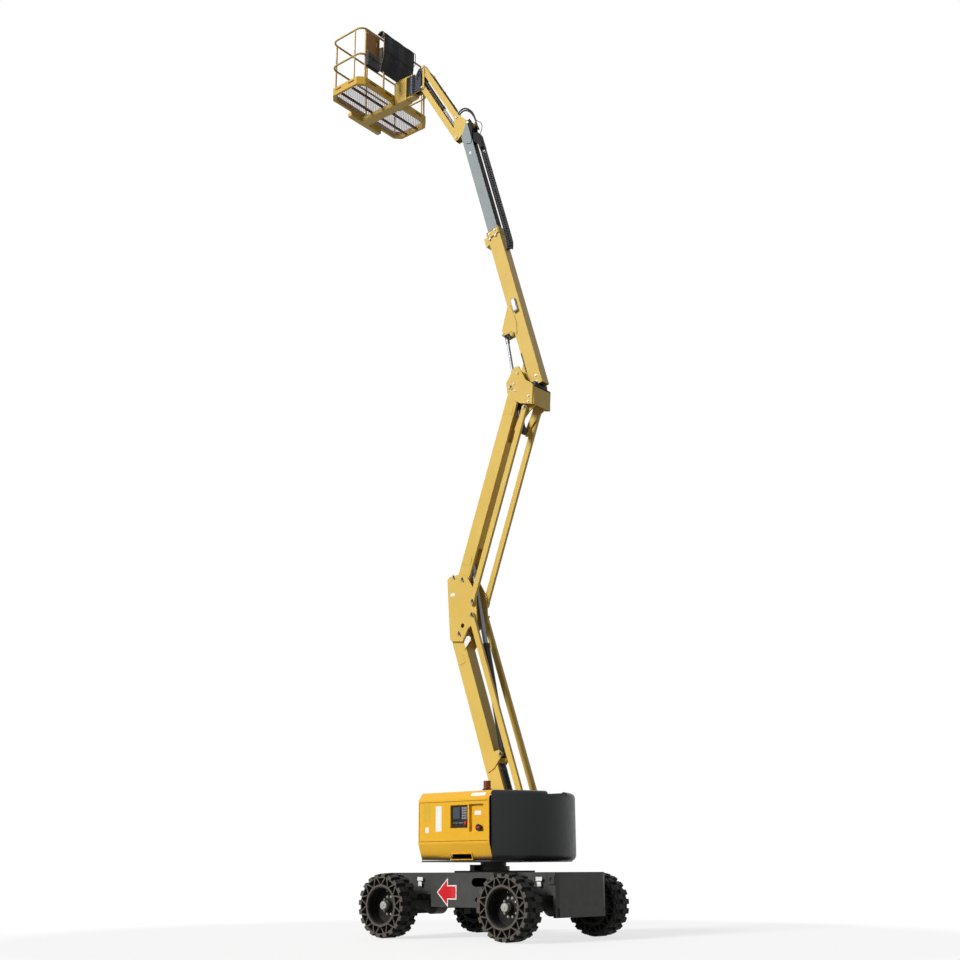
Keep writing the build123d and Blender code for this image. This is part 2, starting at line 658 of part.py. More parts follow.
# ---------------------------------------------------------------- riser
def lower_arm():
    """Lower riser arm with its foot tube, cylinder bracket and knee pin."""
    c0, c1 = LOWER_ACROSS
    arm = box_tube(LOWER, (-60.0, LOWER_LEN + 36), (c0, c1), RISER_HALF_W, RISER_WALL)
    taper = [(-61, 60), (70, c1 - 38), (640, c1), (640, c1 + 1), (-61, c1 + 1)]
    arm -= side(LOWER.points(taper), -RISER_HALF_W - 1, RISER_HALF_W + 1)
    arm += cross_pin(LOWER_FOOT, PIN_R + 30, -CHEEK_IN + 3, CHEEK_IN - 3)
    arm -= cross_pin(LOWER_FOOT, PIN_R + 3 + RUN_FIT, -CHEEK_IN, CHEEK_IN)
    s, n = RISER_CYL_FOOT
    bracket = [(s - 170, 130), (s - 120, 160), (s + 90, 160), (s + 60, n - 10), (s + 20, n - 44), (s - 30, n - 38), (s - 150, 10)]
    arm += pair(side(LOWER.points(bracket), RISER_HALF_W - 2, RISER_HALF_W + 14))
    arm += cross_pin(LOWER.at(s, n), PIN_R, -RISER_HALF_W - 20, RISER_HALF_W + 20)
    lug = [(2960, -20), (3150, -20), (3125, -150), (3095, -182), (3050, -176), (3035, -140)]
    lug_plate = side(LOWER.points(lug), RISER_HALF_W - 2, RISER_HALF_W + 8)
    lug_plate -= cross_pin(LOWER.at(3085, -140), 20, 0, 200)
    arm += pair(lug_plate)
    reach = RISER_HALF_W + SIDE_GAP + KNEE_PLATE_T + 5
    arm += cross_pin(KNEE, PIN_R, -reach, reach)
    return arm


def rod_pair(foot, head, foot_bore, head_bore):
    """Two parallelogram rods, one each side."""
    rod = eye_bar(foot, head, ROD_HALF_DEPTH, ROD_EYE_R, ROD_IN, ROD_OUT)
    rod -= cross_pin(foot, foot_bore, ROD_IN - 1, ROD_OUT + 1)
    rod -= cross_pin(head, head_bore, ROD_IN - 1, ROD_OUT + 1)
    return rod


def lower_rod():
    foot = (LOWER_ROD.x, LOWER_ROD.z)
    return rod_pair(foot, LOWER_ROD.at(LOWER_LEN), PIN_R + RUN_FIT, 26 + EYE_FIT)


def upper_rod():
    foot = (UPPER_ROD.x, UPPER_ROD.z)
    return rod_pair(foot, ROD_HEAD, 26 + RUN_FIT, 26 + EYE_FIT)


def mid_link():
    """Knee link: two plates with a front web and the rods' stub pins."""
    inner = RISER_HALF_W + SIDE_GAP
    outline = [(213, 820), (213, 847), (160, 890), (-70, 900), (-180, 830), (-340, 560), (-360, 160),
               (-190, 60), (-85, -125), (130, -95), (156, -70)]
    plate = side([add(KNEE, p) for p in outline], inner, inner + KNEE_PLATE_T)
    plate -= cross_pin(KNEE, PIN_R + RUN_FIT, inner - 1, inner + KNEE_PLATE_T + 1)
    plate -= cross_pin(add(KNEE, (-85, 114)), 34, inner - 1, inner + KNEE_PLATE_T + 1)
    lower_pin = LOWER_ROD.at(LOWER_LEN)
    upper_pin = (UPPER_ROD.x, UPPER_ROD.z)
    for at in (lower_pin, upper_pin):
        plate += cross_pin(at, 26, inner, ROD_OUT + 8)
    web = side([add(KNEE, p) for p in ((165, 80), (213, 820), (201, 820), (153, 80))], -inner, inner)
    link = pair(plate) + web
    link += cross_pin((UPPER.x, UPPER.z), PIN_R, -inner - KNEE_PLATE_T - 5, inner + KNEE_PLATE_T + 5)
    return link


def upper_arm():
    """Upper riser arm, forked at its root and its head."""
    c0, c1 = UPPER_ACROSS
    arm = box_tube(UPPER, (-88.0, UPPER_LEN + 88), (c0, c1), RISER_HALF_W, RISER_WALL)
    for a0, a1 in ((-88.0, UPPER_SLOT_LOW), (UPPER_SLOT_HIGH, UPPER_LEN + 88)):
        cheek = strip(UPPER, (a0, a1), (c0, c1), SLOT_HALF_W, RISER_HALF_W - RISER_WALL + 1)
        arm += pair(cheek)
        arm -= strip(UPPER, (a0 - 1, a1), (c0 - 1, c1 + 1), -SLOT_HALF_W, SLOT_HALF_W)
    root = (UPPER.x, UPPER.z)
    arm -= cross_pin(root, PIN_R + RUN_FIT, -RISER_HALF_W - 1, RISER_HALF_W + 1)
    arm -= cross_pin(HEAD, PIN_R + RUN_FIT, -RISER_HALF_W - 1, RISER_HALF_W + 1)
    return arm


def head_link():
    """Levelled head: two side plates, the rear box and the inner lug plates."""
    inner = HEAD_PLATE_IN
    outer_points = [(-175, 300), (-85, 300), (65, 85), (50, -75), (-70, -215), (-195, -300),
                    (-415, -360), (-435, -50), (-295, 55)]
    plate = side([add(HEAD, p) for p in outer_points], inner, inner + HEAD_PLATE_T)
    plate += cross_pin(HEAD, 52, RISER_HALF_W + 5, inner)
    plate += cross_pin(HEAD, PIN_R, SLOT_HALF_W + 2, inner + HEAD_PLATE_T + 4)
    boss_in = BOOM_HALF_W + 6
    plate += cross_pin((BOOM.x, BOOM.z), 50, boss_in, inner)
    lug_points = [(-415, -150), (-415, -345), (-300, -420), (-120, -590), (-118, -700), (-70, -712),
                  (-22, -700), (-10, -640), (-120, -430), (-170, -330), (-190, -150)]
    lug = side([add(HEAD, p) for p in lug_points], HEAD_LUG_IN, HEAD_LUG_IN + HEAD_PLATE_T)
    lug += cross_pin(ROD_HEAD, 26, HEAD_LUG_IN, ROD_OUT + 8)
    back = side([add(HEAD, p) for p in ((-435, -360), (-435, -75), (-421, -75), (-421, -360))], -inner, inner)
    floor = side([add(HEAD, p) for p in ((-435, -206), (-435, -192), (-185, -172), (-185, -186))], -inner, inner)
    link = pair(plate) + pair(lug) + back + floor
    link += cross_pin((BOOM.x, BOOM.z), PIN_R, -inner - HEAD_PLATE_T - 4, inner + HEAD_PLATE_T + 4)
    foot = add(HEAD, BOOM_CYL_FOOT)
    link += cross_pin(foot, PIN_R, -HEAD_LUG_IN - HEAD_PLATE_T - 4, HEAD_LUG_IN + HEAD_PLATE_T + 4)
    return link


def cylinder_barrel(member, radius, length, rod_r, pin_r, eye_half_w):
    """Hydraulic barrel with its foot eye, neck and gland, hollow for the rod."""
    neck = pin_r + BARREL_NECK
    barrel = round_bar(member, (neck, length), radius)
    barrel += strip(member, (0.0, neck + 1), (-radius * 0.7, radius * 0.7), -eye_half_w, eye_half_w)
    barrel += cross_pin((member.x, member.z), pin_r + BARREL_EYE, -eye_half_w, eye_half_w)
    barrel -= cross_pin((member.x, member.z), pin_r + RUN_FIT, -eye_half_w - 1, eye_half_w + 1)
    barrel += round_bar(member, (length - GLAND_L, length), radius + GLAND_UP)
    return barrel - round_bar(member, (neck + BARREL_END, length + 1), rod_r + SEAT)


def cylinder_rod(member, length, stroke, rod_r, pin_r, eye_half_w, pin_half_w):
    """Piston rod from inside its barrel to its eye, with the eye's pin."""
    tail = stroke + pin_r + BARREL_NECK + BARREL_END + ROD_SPARE
    end = length - pin_r / 2
    rod = round_bar(member, (tail, end), rod_r)
    rod += round_bar(member, (end - ROD_HEAD_L, end), rod_r + ROD_HEAD_UP)
    rod += cross_pin(member.at(length), pin_r + ROD_EYE_UP, -eye_half_w, eye_half_w)
    return rod + cross_pin(member.at(length), pin_r, -pin_half_w, pin_half_w)


# ---------------------------------------------------------------- main and fly boom
def main_boom():
    """Main boom: outer tube with pivot lugs, cylinder gussets and nose collar."""
    c0, c1 = BOOM_ACROSS
    a0, a1 = BOOM_ALONG
    boom = box_tube(BOOM, (a0, a1), (c0, c1), BOOM_HALF_W, BOOM_WALL)
    lug = [(-150, c1 - BOOM_WALL + 1), (-60, 30), (0, 56), (60, 30), (190, c1 - BOOM_WALL + 1)]
    boom += pair(side(BOOM.points(lug), BOOM_HALF_W - 22, BOOM_HALF_W))
    boom -= cross_pin((BOOM.x, BOOM.z), PIN_R + RUN_FIT, -BOOM_HALF_W - 1, BOOM_HALF_W + 1)
    s, n = BOOM_CYL_HEAD
    gusset = [(s - 150, c1 - 40), (s - 60, c1 + 30), (s - 40, n + 20), (s, n + 34), (s + 40, n + 12),
              (s + 380, c1 - 2), (s + 390, c1 - 60), (s + 60, c1 - 90)]
    boom += pair(side(BOOM.points(gusset), BOOM_HALF_W - 1, BOOM_HALF_W + 11))
    collar = strip(BOOM, (a1 - 130, a1), (c0 - 6, c1 + 6), -BOOM_HALF_W - 12, BOOM_HALF_W + 12)
    collar += strip(BOOM, (a1 - 220, a1 - 60), (c1 - 2, c1 + 84), -BOOM_HALF_W + 12, BOOM_HALF_W - 12)
    f0, f1 = FLY_ACROSS
    collar -= strip(
        BOOM, (a1 - 200, a1 + 1), (f0 - SEAT, f1 + SEAT), -FLY_HALF_W - SEAT, FLY_HALF_W + SEAT
    )
    boom += collar
    return boom


def fly_boom():
    """Telescoping fly boom with tail pads, tip cheeks and its hose bracket."""
    f0, f1 = FLY_ACROSS
    a0, a1 = FLY_ALONG
    fly = box_tube(BOOM, (a0, a1), (f0, f1), FLY_HALF_W, FLY_WALL)
    w = BOOM_WALL + SEAT
    pads = strip(BOOM, (a0, a0 + 90), (BOOM_ACROSS[0] + w, BOOM_ACROSS[1] - w), -BOOM_HALF_W + w, BOOM_HALF_W - w)
    pads -= strip(BOOM, (a0 - 1, a0 + 91), (f0 + 1, f1 - 1), -FLY_HALF_W + 1, FLY_HALF_W - 1)
    fly += pads
    s, n = FLY_PIVOT
    cheek = [(a1 - 190, f1 - 60), (a1 - 20, f1 - 4), (s - 20, n + 75), (s + 56, n + 30), (s + 50, n - 50),
             (s - 60, n - 78), (a1 - 160, f0 - 6), (a1 - 250, f0 + 40)]
    fly += pair(side(BOOM.points(cheek), FLY_HALF_W - 0.5, FLY_HALF_W + FLY_CHEEK_T))
    fly += cross_pin(BOOM.at(s, n), JIB_PIN_R + 4, -FLY_HALF_W - FLY_CHEEK_T - 6, FLY_HALF_W + FLY_CHEEK_T + 6)
    low = a1 - CARRIER_DROP
    bracket = [(low, f0 - 150), (a1 - 120, f0 - 128), (a1 - 60, f0 + 4), (a1 - 200, f0 + 4), (low + 90, f0 - 76)]
    bracket += [(low, f0 - 76)]
    fly += side(BOOM.points(bracket), -50, 50)
    return fly


def hose_carrier():
    """Hose carrier that hangs from the fly boom's bracket and turns back at its foot."""
    f0 = FLY_ACROSS[0]
    a1 = FLY_ALONG[1]
    top, foot = a1 - CARRIER_DROP - SEAT, CARRIER_FOOT
    outline = [(top, f0 - 142), (top, f0 - 84), (foot + 80, f0 - 84), (foot - 40, f0 - 40), (foot - 110, f0 - 58)]
    outline += [(foot - 100, f0 - 118), (foot - 20, f0 - 142)]
    return side(BOOM.points(outline), -45, 45)


# ---------------------------------------------------------------- jib
def jib_foot():
    """Levelled foot of the jib between the fly boom's cheeks."""
    low, up = (JIB_LOW.x, JIB_LOW.z), (JIB_UP.x, JIB_UP.z)
    outline = [add(TIP, p) for p in ((-55, -40), (-50, 40), (40, 70))]
    outline += [add(up, p) for p in ((-60, 20), (-30, 52), (30, 52), (55, 15))]
    outline += [add(low, p) for p in ((60, 30), (55, -30), (20, -52), (-30, -45))]
    outline += [add(TIP, p) for p in ((0, -62),)]
    plate = side(outline, JIB_PLATE_IN, JIB_PLATE_IN + JIB_PLATE_T)
    plate += cross_pin(low, JIB_PIN_R, JIB_HALF_W - JIB_WALL - 1, JIB_PLATE_IN + JIB_PLATE_T + 3)
    foot = pair(plate)
    foot += cross_pin(TIP, JIB_PIN_R + 24, -JIB_PLATE_IN, JIB_PLATE_IN)
    foot -= cross_pin(TIP, JIB_PIN_R + 4 + RUN_FIT, -JIB_PLATE_IN - 20, JIB_PLATE_IN + 20)
    foot += cross_pin(up, JIB_PIN_R, -JIB_PLATE_IN - JIB_PLATE_T - 3, JIB_PLATE_IN + JIB_PLATE_T + 3)
    web = [add(TIP, p) for p in ((70, 66), (84, 58), (150, 150), (138, 160))]
    return foot + side(web, -JIB_PLATE_IN, JIB_PLATE_IN)


def jib_lower_bar():
    """Lower jib bar: a channel that opens towards the upper bar."""
    d, w, t = JIB_HALF_DEPTH, JIB_HALF_W, JIB_WALL
    bar = strip(JIB_LOW, (-44, JIB_LEN + 44), (-d, d), -w, w)
    bar -= strip(JIB_LOW, (-45, JIB_LEN + 45), (-d - 1, d - t), -w + t, w - t)
    foot, head = (JIB_LOW.x, JIB_LOW.z), JIB_HEAD_LOW
    bar -= cross_pin(foot, JIB_PIN_R + RUN_FIT, -w - 1, w + 1)
    return bar - cross_pin(head, JIB_PIN_R + EYE_FIT, -w - 1, w + 1)


def jib_upper_bar():
    """Upper jib bar: a tube with the jib cylinder's lugs."""
    d, w = JIB_HALF_DEPTH, JIB_HALF_W
    bar = box_tube(JIB_UP, (-44, JIB_LEN + 44), (-d, d), w, JIB_WALL)
    foot, head = (JIB_UP.x, JIB_UP.z), JIB_HEAD_UP
    for at in (foot, head):
        bar += cross_pin(at, JIB_PIN_R + 14, -w, w)
        bar -= cross_pin(at, JIB_PIN_R + RUN_FIT, -w - 1, w + 1)
    s, n = JIB_CYL_HEAD
    lug = side(JIB_UP.points([(s - 66, d - 4), (s - 30, n + 28), (s + 30, n + 28), (s + 50, d - 4)]), JIB_LUG_Y[0], JIB_LUG_Y[1])
    bar += pair(lug) + cross_pin(JIB_UP.at(s, n), JIB_PIN_R, -JIB_LUG_Y[1] - 4, JIB_LUG_Y[1] + 4)
    stop = side(JIB_UP.points([(1180, -d + 2), (1200, -d - 34), (1240, -d - 34), (1290, -d + 2)]), -10, 10)
    return bar + stop


def basket_bracket():
    """Levelled bracket at the jib's head with the rotary actuator's body."""
    low, up = JIB_HEAD_LOW, JIB_HEAD_UP
    x1 = ROTATOR - ROTATOR_R + 20
    outline = [add(low, (-45, -20)), add(low, (-20, -48)), (x1, low[1] - 50), (x1, up[1] - 72), (x1 - 30, up[1] - 72)]
    outline += [add(up, (40, 34)), add(up, (0, 48)), add(up, (-34, 34)), add(up, (-48, 0))]
    plate = side(outline, JIB_PLATE_IN, JIB_PLATE_IN + JIB_PLATE_T)
    plate += cross_pin(low, JIB_PIN_R, JIB_HALF_W - JIB_WALL - 1, JIB_PLATE_IN + JIB_PLATE_T + 3)
    bracket = pair(plate)
    bracket += cross_pin(up, JIB_PIN_R, -JIB_PLATE_IN - JIB_PLATE_T - 3, JIB_PLATE_IN + JIB_PLATE_T + 3)
    bracket += upright(ROTATOR, 0, ROTATOR_R, low[1] - ROTATOR_DROP, up[1] - ROTATOR_DROP)
    bracket += block((x1 - 14, x1), (-JIB_PLATE_IN, JIB_PLATE_IN), (low[1] - 50, up[1] - 72))
    return bracket - upright(ROTATOR, 0, SPINDLE_PIN_R + RUN_FIT, low[1] - ROTATOR_DROP - 1, up[1])


# ---------------------------------------------------------------- platform
def basket_support():
    """Turning yoke, under-floor arm and front beam that carry the platform."""
    z0, z1 = JIB_HEAD_LOW[1] - ROTATOR_DROP, JIB_HEAD_UP[1] - ROTATOR_DROP
    floor = BASKET_FLOOR - SEAT
    x2 = BASKET_X[0] - YOKE_GAP
    x1 = ROTATOR + ROTATOR_R + YOKE_GAP / 2
    t = YOKE_T
    support = upright(ROTATOR, 0, SPINDLE_PIN_R, z0 - YOKE_SIDE - 1, z1 + YOKE_SIDE + 1)
    for low in (z0 - YOKE_SIDE - YOKE_PLATE, z1 + YOKE_SIDE):
        support += upright(ROTATOR, 0, YOKE_HALF_W, low, low + YOKE_PLATE)
        support += block((ROTATOR, x2), (-YOKE_HALF_W, YOKE_HALF_W), (low, low + YOKE_PLATE))
    y = YOKE_HALF_W + YOKE_T
    top = z1 + YOKE_SIDE + YOKE_PLATE
    support += block((x1, x2), (-y, y), (floor - BEAM_H, top))
    support -= block((x1 + t, x2 - t), (-y + t, y - t), (floor - BEAM_H + t, top - t))
    support += block((x2 - 1, BEAM_X[0]), (-ARM_HALF_W, ARM_HALF_W), (floor - BEAM_H, floor))
    support -= block((x2 - t - 1, BEAM_X[0] - t), (-ARM_HALF_W + t, ARM_HALF_W - t), (floor - BEAM_H + t, floor - t))
    beam = block(BEAM_X, BEAM_Y, (floor - BEAM_H, floor))
    bore = block((BEAM_X[0] + t, BEAM_X[1] - t), (BEAM_Y[0] - 1, BEAM_Y[1] + 1), (floor - BEAM_H + t, floor - t))
    return support + (beam - bore)


def tray_outline(inset):
    """Platform's plan with chamfered corners."""
    x0, x1 = BASKET_X[0] + inset, BASKET_X[1] - inset
    y = BASKET_W / 2 - inset
    k = TRAY_CORNER
    return [(x0 + k, -y), (x1 - k, -y), (x1, -y + k), (x1, y - k), (x1 - k, y), (x0 + k, y), (x0, y - k), (x0, -y + k)]


def basket_tray():
    """Toe board and floor frame of the platform."""
    z0, z1 = BASKET_FLOOR, BASKET_FLOOR + TRAY_H
    zf = z0 + FLOOR_UP
    tray = plan(tray_outline(0), z0, z1) - plan(tray_outline(TRAY_WALL), z0 - 1, z1 + 1)
    x0, x1 = BASKET_X
    y = BASKET_W / 2 - TRAY_WALL
    for x in (x0 + BASKET_D / 3, x0 + BASKET_D * 2 / 3):
        tray += block((x - 20, x + 20), (-y, y), (z0, zf))
    tray += block((x0 + 2, x1 - 2), (-30, 30), (z0, zf))
    return tray + plan(tray_outline(TRAY_WALL - 1), z0, zf) - plan(tray_outline(45), z0 - 1, zf + 1)


def basket_floor():
    """Floor grating on the tray's frame."""
    z0 = BASKET_FLOOR + FLOOR_UP + SEAT
    return plan(tray_outline(TRAY_WALL + SEAT), z0, z0 + FLOOR_T)


def rail_post_x(end):
    """Centre of the posts along one end: 0 the platform's rear, 1 its front."""
    inset = TRAY_WALL + SEAT + RAIL_R + POST_IN
    return BASKET_X[end] + (inset if end == 0 else -inset)


def basket_rails():
    """Guard rails: posts, two closed loops and the hoops that hold the console's cover."""
    inset = TRAY_WALL + SEAT + RAIL_R
    x0, x1 = BASKET_X[0] + inset, BASKET_X[1] - inset
    y = BASKET_W / 2 - RAIL_Y_IN
    foot = BASKET_FLOOR + FLOOR_UP + FLOOR_T + 2 * SEAT
    rails = None
    for end, post_y in POSTS:
        post = upright(rail_post_x(end), post_y, RAIL_R, foot, RAIL_TOP)
        rails = post if rails is None else rails + post
    for z in (RAIL_MID, RAIL_TOP):
        rails += pipe([(x0, -y, z), (x1, -y, z), (x1, y, z), (x0, y, z)], RAIL_R, RAIL_BEND, close=True)
    xp, xg = rail_post_x(0), BASKET_X[0] - GUARD_OUT
    for gy in GUARD_Y:
        hoop = [(xp, gy, GUARD_Z[0]), (xg, gy, GUARD_Z[0]), (xg, gy, GUARD_Z[1]), (xp, gy, GUARD_Z[1]), (xp, gy, RAIL_TOP)]
        rails += pipe(hoop, GUARD_R, GUARD_BEND)
    return rails


def control_console():
    """Platform control console on the rear posts, with its sloping panel."""
    back = rail_post_x(0) + RAIL_R + SEAT
    profile = [(0, 14560), (0, 15040), (90, 15050), (250, 14940), (250, 14860), (60, 14780), (60, 14560)]
    return side([(back + x, z) for x, z in profile], -CONSOLE_HALF_W, CONSOLE_HALF_W)


def console_cover():
    """Padded cover that hangs over the guard hoops and the console."""
    x0 = BASKET_X[0] - GUARD_OUT - GUARD_R - SEAT
    z1 = GUARD_Z[1] + GUARD_R + SEAT
    inner = [(20, COVER_FOOT), (0, 14900), (0, z1 - 40), (32, z1), (160, z1)]
    outer = [(160, z1 + 28), (40, z1 + 36), (-36, z1 - 60), (-34, 14900), (-12, COVER_FOOT)]
    return side([(x0 + x, z) for x, z in inner + outer], *COVER_Y)


def rear_plate():
    """Flat plate on the rear posts beside the console, between the two rails."""
    x1 = rail_post_x(0) - RAIL_R - SEAT
    return block((x1 - PLATE_T, x1), PLATE_Y, (RAIL_MID + RAIL_R + 22, RAIL_TOP - RAIL_R - 22))


def document_box():
    """Document holder under the rear plate, hooked round the middle rail."""
    x1 = rail_post_x(0) - RAIL_R - SEAT
    rail = BASKET_X[0] + TRAY_WALL
    x0 = rail - BOX_DEPTH
    low, high = RAIL_MID - RAIL_R - SEAT - BOX_H, RAIL_MID - RAIL_R - SEAT
    return block((x0, x1), BOX_Y, (low, high)) + block((x0, rail), BOX_Y, (high - 1, RAIL_MID + RAIL_R))


# ---------------------------------------------------------------- export
def place_wheel(solid, sx, sy, y):
    """Put a left-hand wheel piece at a wheel's place."""
    piece = solid if sy > 0 else mirrored(solid)
    if sx < 0:
        piece = mirror(piece, about=Plane.YZ)
    return Pos(sx * HALF_BASE, sy * y, TYRE_R) * piece


def export(name, solid):
    export_step(Pos(X_SHIFT, 0, 0) * solid, f"parts/{name}.step")


CORNERS = (("front_left", 1, 1), ("front_right", 1, -1), ("rear_left", -1, 1), ("rear_right", -1, -1))


def main():
    os.makedirs("parts", exist_ok=True)
    tyre_solid, rim_solid, knuckle_solid = tyre(), rim(), knuckle()
    for name, sx, sy in CORNERS:
        export(f"tyre_{name}", place_wheel(tyre_solid, sx, sy, HALF_TRACK))
        export(f"rim_{name}", place_wheel(rim_solid, sx, sy, HALF_TRACK))
        export(f"knuckle_{name}", place_wheel(knuckle_solid, sx, sy, HALF_TRACK - KINGPIN_IN))
    export("axle_front", axle(1))
    export("axle_rear", axle(-1))
    export("chassis_frame", chassis())
    for name, sx, sy in CORNERS:
        export(f"lashing_eye_{name}", tie_eye(sx, sy))
    export("slew_ring", slew_ring())
    export("turret_frame", turret_frame())
    export("counterweight", counterweight())
    export("hood_left", hood(True))
    export("hood_right", mirrored(hood(False)))
    export("ground_panel", ground_panel())
    export("isolator_knob", stop_knob())
    export("engine_block", engine_block())
    export("beacon", beacon())
    export("lower_arm", lower_arm())
    rods = (("lower_rod", lower_rod()), ("upper_rod", upper_rod()))
    for name, rod in rods:
        export(f"{name}_left", rod)
        export(f"{name}_right", mirrored(rod))
    export("mid_link", mid_link())
    export("upper_arm", upper_arm())
    export("head_link", head_link())
    export("riser_barrel", cylinder_barrel(RISER_CYL, RISER_BARREL_R, RISER_BARREL_LEN, RISER_ROD_R, PIN_R, 50))
    export("riser_rod", cylinder_rod(RISER_CYL, RISER_CYL_LEN, RISER_STROKE, RISER_ROD_R, PIN_R, 30, 56))
    export("boom_barrel", cylinder_barrel(BOOM_CYL, BOOM_BARREL_R, BOOM_BARREL_LEN, BOOM_ROD_R, PIN_R, 50))
    export("boom_rod", cylinder_rod(BOOM_CYL, BOOM_CYL_LEN, BOOM_STROKE, BOOM_ROD_R, PIN_R, 34, 78))
    export("main_boom", main_boom())
    export("fly_boom", fly_boom())
    export("hose_carrier", hose_carrier())
    export("jib_foot", jib_foot())
    export("jib_lower_bar", jib_lower_bar())
    export("jib_upper_bar", jib_upper_bar())
    export("jib_barrel", cylinder_barrel(JIB_CYL, JIB_BARREL_R, JIB_BARREL_LEN, JIB_ROD_R, JIB_PIN_R, 24))
    export("jib_rod", cylinder_rod(JIB_CYL, JIB_CYL_LEN, JIB_STROKE, JIB_ROD_R, JIB_PIN_R, 20, 32))
    export("basket_bracket", basket_bracket())
    export("basket_support", basket_support())
    export("basket_tray", basket_tray())
    export("basket_floor", basket_floor())
    export("basket_rails", basket_rails())
    export("control_console", control_console())
    export("console_cover", console_cover())
    export("rear_plate", rear_plate())
    export("document_box", document_box())


main()
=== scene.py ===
"""Looks of an articulating boom lift: finishes, fasteners, hoses, labels, fabric, floor mesh and light.

Every length is in metres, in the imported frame: +X is the direction of travel, +Y the machine's left
and +Z up. Places are read from the frame's joints and from the boxes of its nodes.
"""

from __future__ import annotations

import json
import logging
import math
from dataclasses import dataclass
from enum import Enum
from typing import Iterable, Sequence

import bmesh
import bpy
from mathutils import Matrix, Vector, noise

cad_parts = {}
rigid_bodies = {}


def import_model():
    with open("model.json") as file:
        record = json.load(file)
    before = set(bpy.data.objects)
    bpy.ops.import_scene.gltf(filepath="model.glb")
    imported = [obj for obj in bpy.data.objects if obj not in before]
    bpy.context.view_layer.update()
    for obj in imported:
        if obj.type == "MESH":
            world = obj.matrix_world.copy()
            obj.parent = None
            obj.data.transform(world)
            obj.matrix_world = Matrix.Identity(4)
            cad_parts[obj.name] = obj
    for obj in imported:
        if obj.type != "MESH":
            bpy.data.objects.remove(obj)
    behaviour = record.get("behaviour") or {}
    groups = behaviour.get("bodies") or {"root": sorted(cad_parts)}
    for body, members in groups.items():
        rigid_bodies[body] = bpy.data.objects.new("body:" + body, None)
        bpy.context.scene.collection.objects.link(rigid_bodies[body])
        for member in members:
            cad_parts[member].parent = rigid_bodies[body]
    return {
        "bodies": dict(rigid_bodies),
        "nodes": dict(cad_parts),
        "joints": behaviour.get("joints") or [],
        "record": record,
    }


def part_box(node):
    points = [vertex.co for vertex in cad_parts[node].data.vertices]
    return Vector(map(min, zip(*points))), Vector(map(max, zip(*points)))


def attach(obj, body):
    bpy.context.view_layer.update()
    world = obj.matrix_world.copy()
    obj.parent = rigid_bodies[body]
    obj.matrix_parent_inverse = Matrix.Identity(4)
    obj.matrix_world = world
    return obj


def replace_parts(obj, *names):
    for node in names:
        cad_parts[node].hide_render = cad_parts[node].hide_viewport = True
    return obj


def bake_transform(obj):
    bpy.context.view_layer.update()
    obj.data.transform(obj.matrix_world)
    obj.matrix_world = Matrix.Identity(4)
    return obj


LOG = logging.getLogger("boom_lift")
CREASE = math.radians(32.0)
LABEL = 0.0012
LEFTWARD = Vector((0.0, 1.0, 0.0))
AHEAD, REAR = Vector((1.0, 0.0, 0.0)), Vector((-1.0, 0.0, 0.0))
OVER, UNDER = Vector((0.0, 0.0, 1.0)), Vector((0.0, 0.0, -1.0))
WHITE = (1.0, 1.0, 1.0, 1.0)
Color = tuple[float, float, float]
Profile = Sequence[tuple[float, float]]


class Side(Enum):
    """The machine's two flanks, as the sign of their y."""

    LEFT = 1
    RIGHT = -1

    @property
    def label(self) -> str:
        """Return the flank's name as the pieces use it."""
        return self.name.lower()

    @property
    def out(self) -> Vector:
        """Return the flank's outward direction."""
        return Vector((0.0, self.value, 0.0))

    def face(self, box: tuple[Vector, Vector]) -> float:
        """Return the y of a box's face on this flank."""
        return box[1].y if self is Side.LEFT else box[0].y


# ---------------------------------------------------------------- shader tools
class Graph:
    """Short calls that make and join the nodes of one tree."""

    def __init__(self, tree: bpy.types.NodeTree) -> None:
        """Keep the tree.

        Args:
            tree: The shader or geometry tree to build in.
        """
        self.tree = tree

    def node(self, kind: str, inputs: dict | None = None, **settings) -> bpy.types.Node:
        """Make a node.

        Args:
            kind: The node's type name.
            inputs: Values or output sockets by the input's name or index.
            settings: Plain properties of the node.

        Returns:
            The new node.
        """
        made = self.tree.nodes.new(kind)
        for name, value in settings.items():
            setattr(made, name, value)
        for name, value in (inputs or {}).items():
            self.feed(made.inputs[name], value)
        return made

    def feed(self, socket: bpy.types.NodeSocket, value) -> None:
        """Link a socket to another one, or set its plain value."""
        if isinstance(value, bpy.types.NodeSocket):
            self.tree.links.new(value, socket)
        else:
            socket.default_value = value

    def math(self, operation: str, first, second=0.0) -> bpy.types.NodeSocket:
        """Return the result of a Math node on two values or sockets."""
        return self.node("ShaderNodeMath", {0: first, 1: second}, operation=operation).outputs[0]

    def span(self, value, low, high, start=0.0, end=1.0) -> bpy.types.NodeSocket:
        """Return a value mapped from low..high to start..end, held inside it."""
        names = {"Value": value, "From Min": low, "From Max": high, "To Min": start, "To Max": end}
        return self.node("ShaderNodeMapRange", names, clamp=True).outputs["Result"]

    def blend(self, share, first, second) -> bpy.types.NodeSocket:
        """Return a colour between two colours."""
        made = self.node("ShaderNodeMix", data_type="RGBA")
        for index, value in ((0, share), (6, first), (7, second)):
            self.feed(made.inputs[index], value)
        return made.outputs[2]

    def place(self) -> bpy.types.NodeSocket:
        """Return the object coordinates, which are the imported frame's own."""
        return self.node("ShaderNodeTexCoord").outputs["Object"]

    def noise(self, vector, scale, detail: float = 3.0, rough: float = 0.55) -> bpy.types.NodeSocket:
        """Return the value of a noise texture."""
        inputs = {"Vector": vector, "Scale": scale, "Detail": detail, "Roughness": rough}
        return self.node("ShaderNodeTexNoise", inputs).outputs[0]


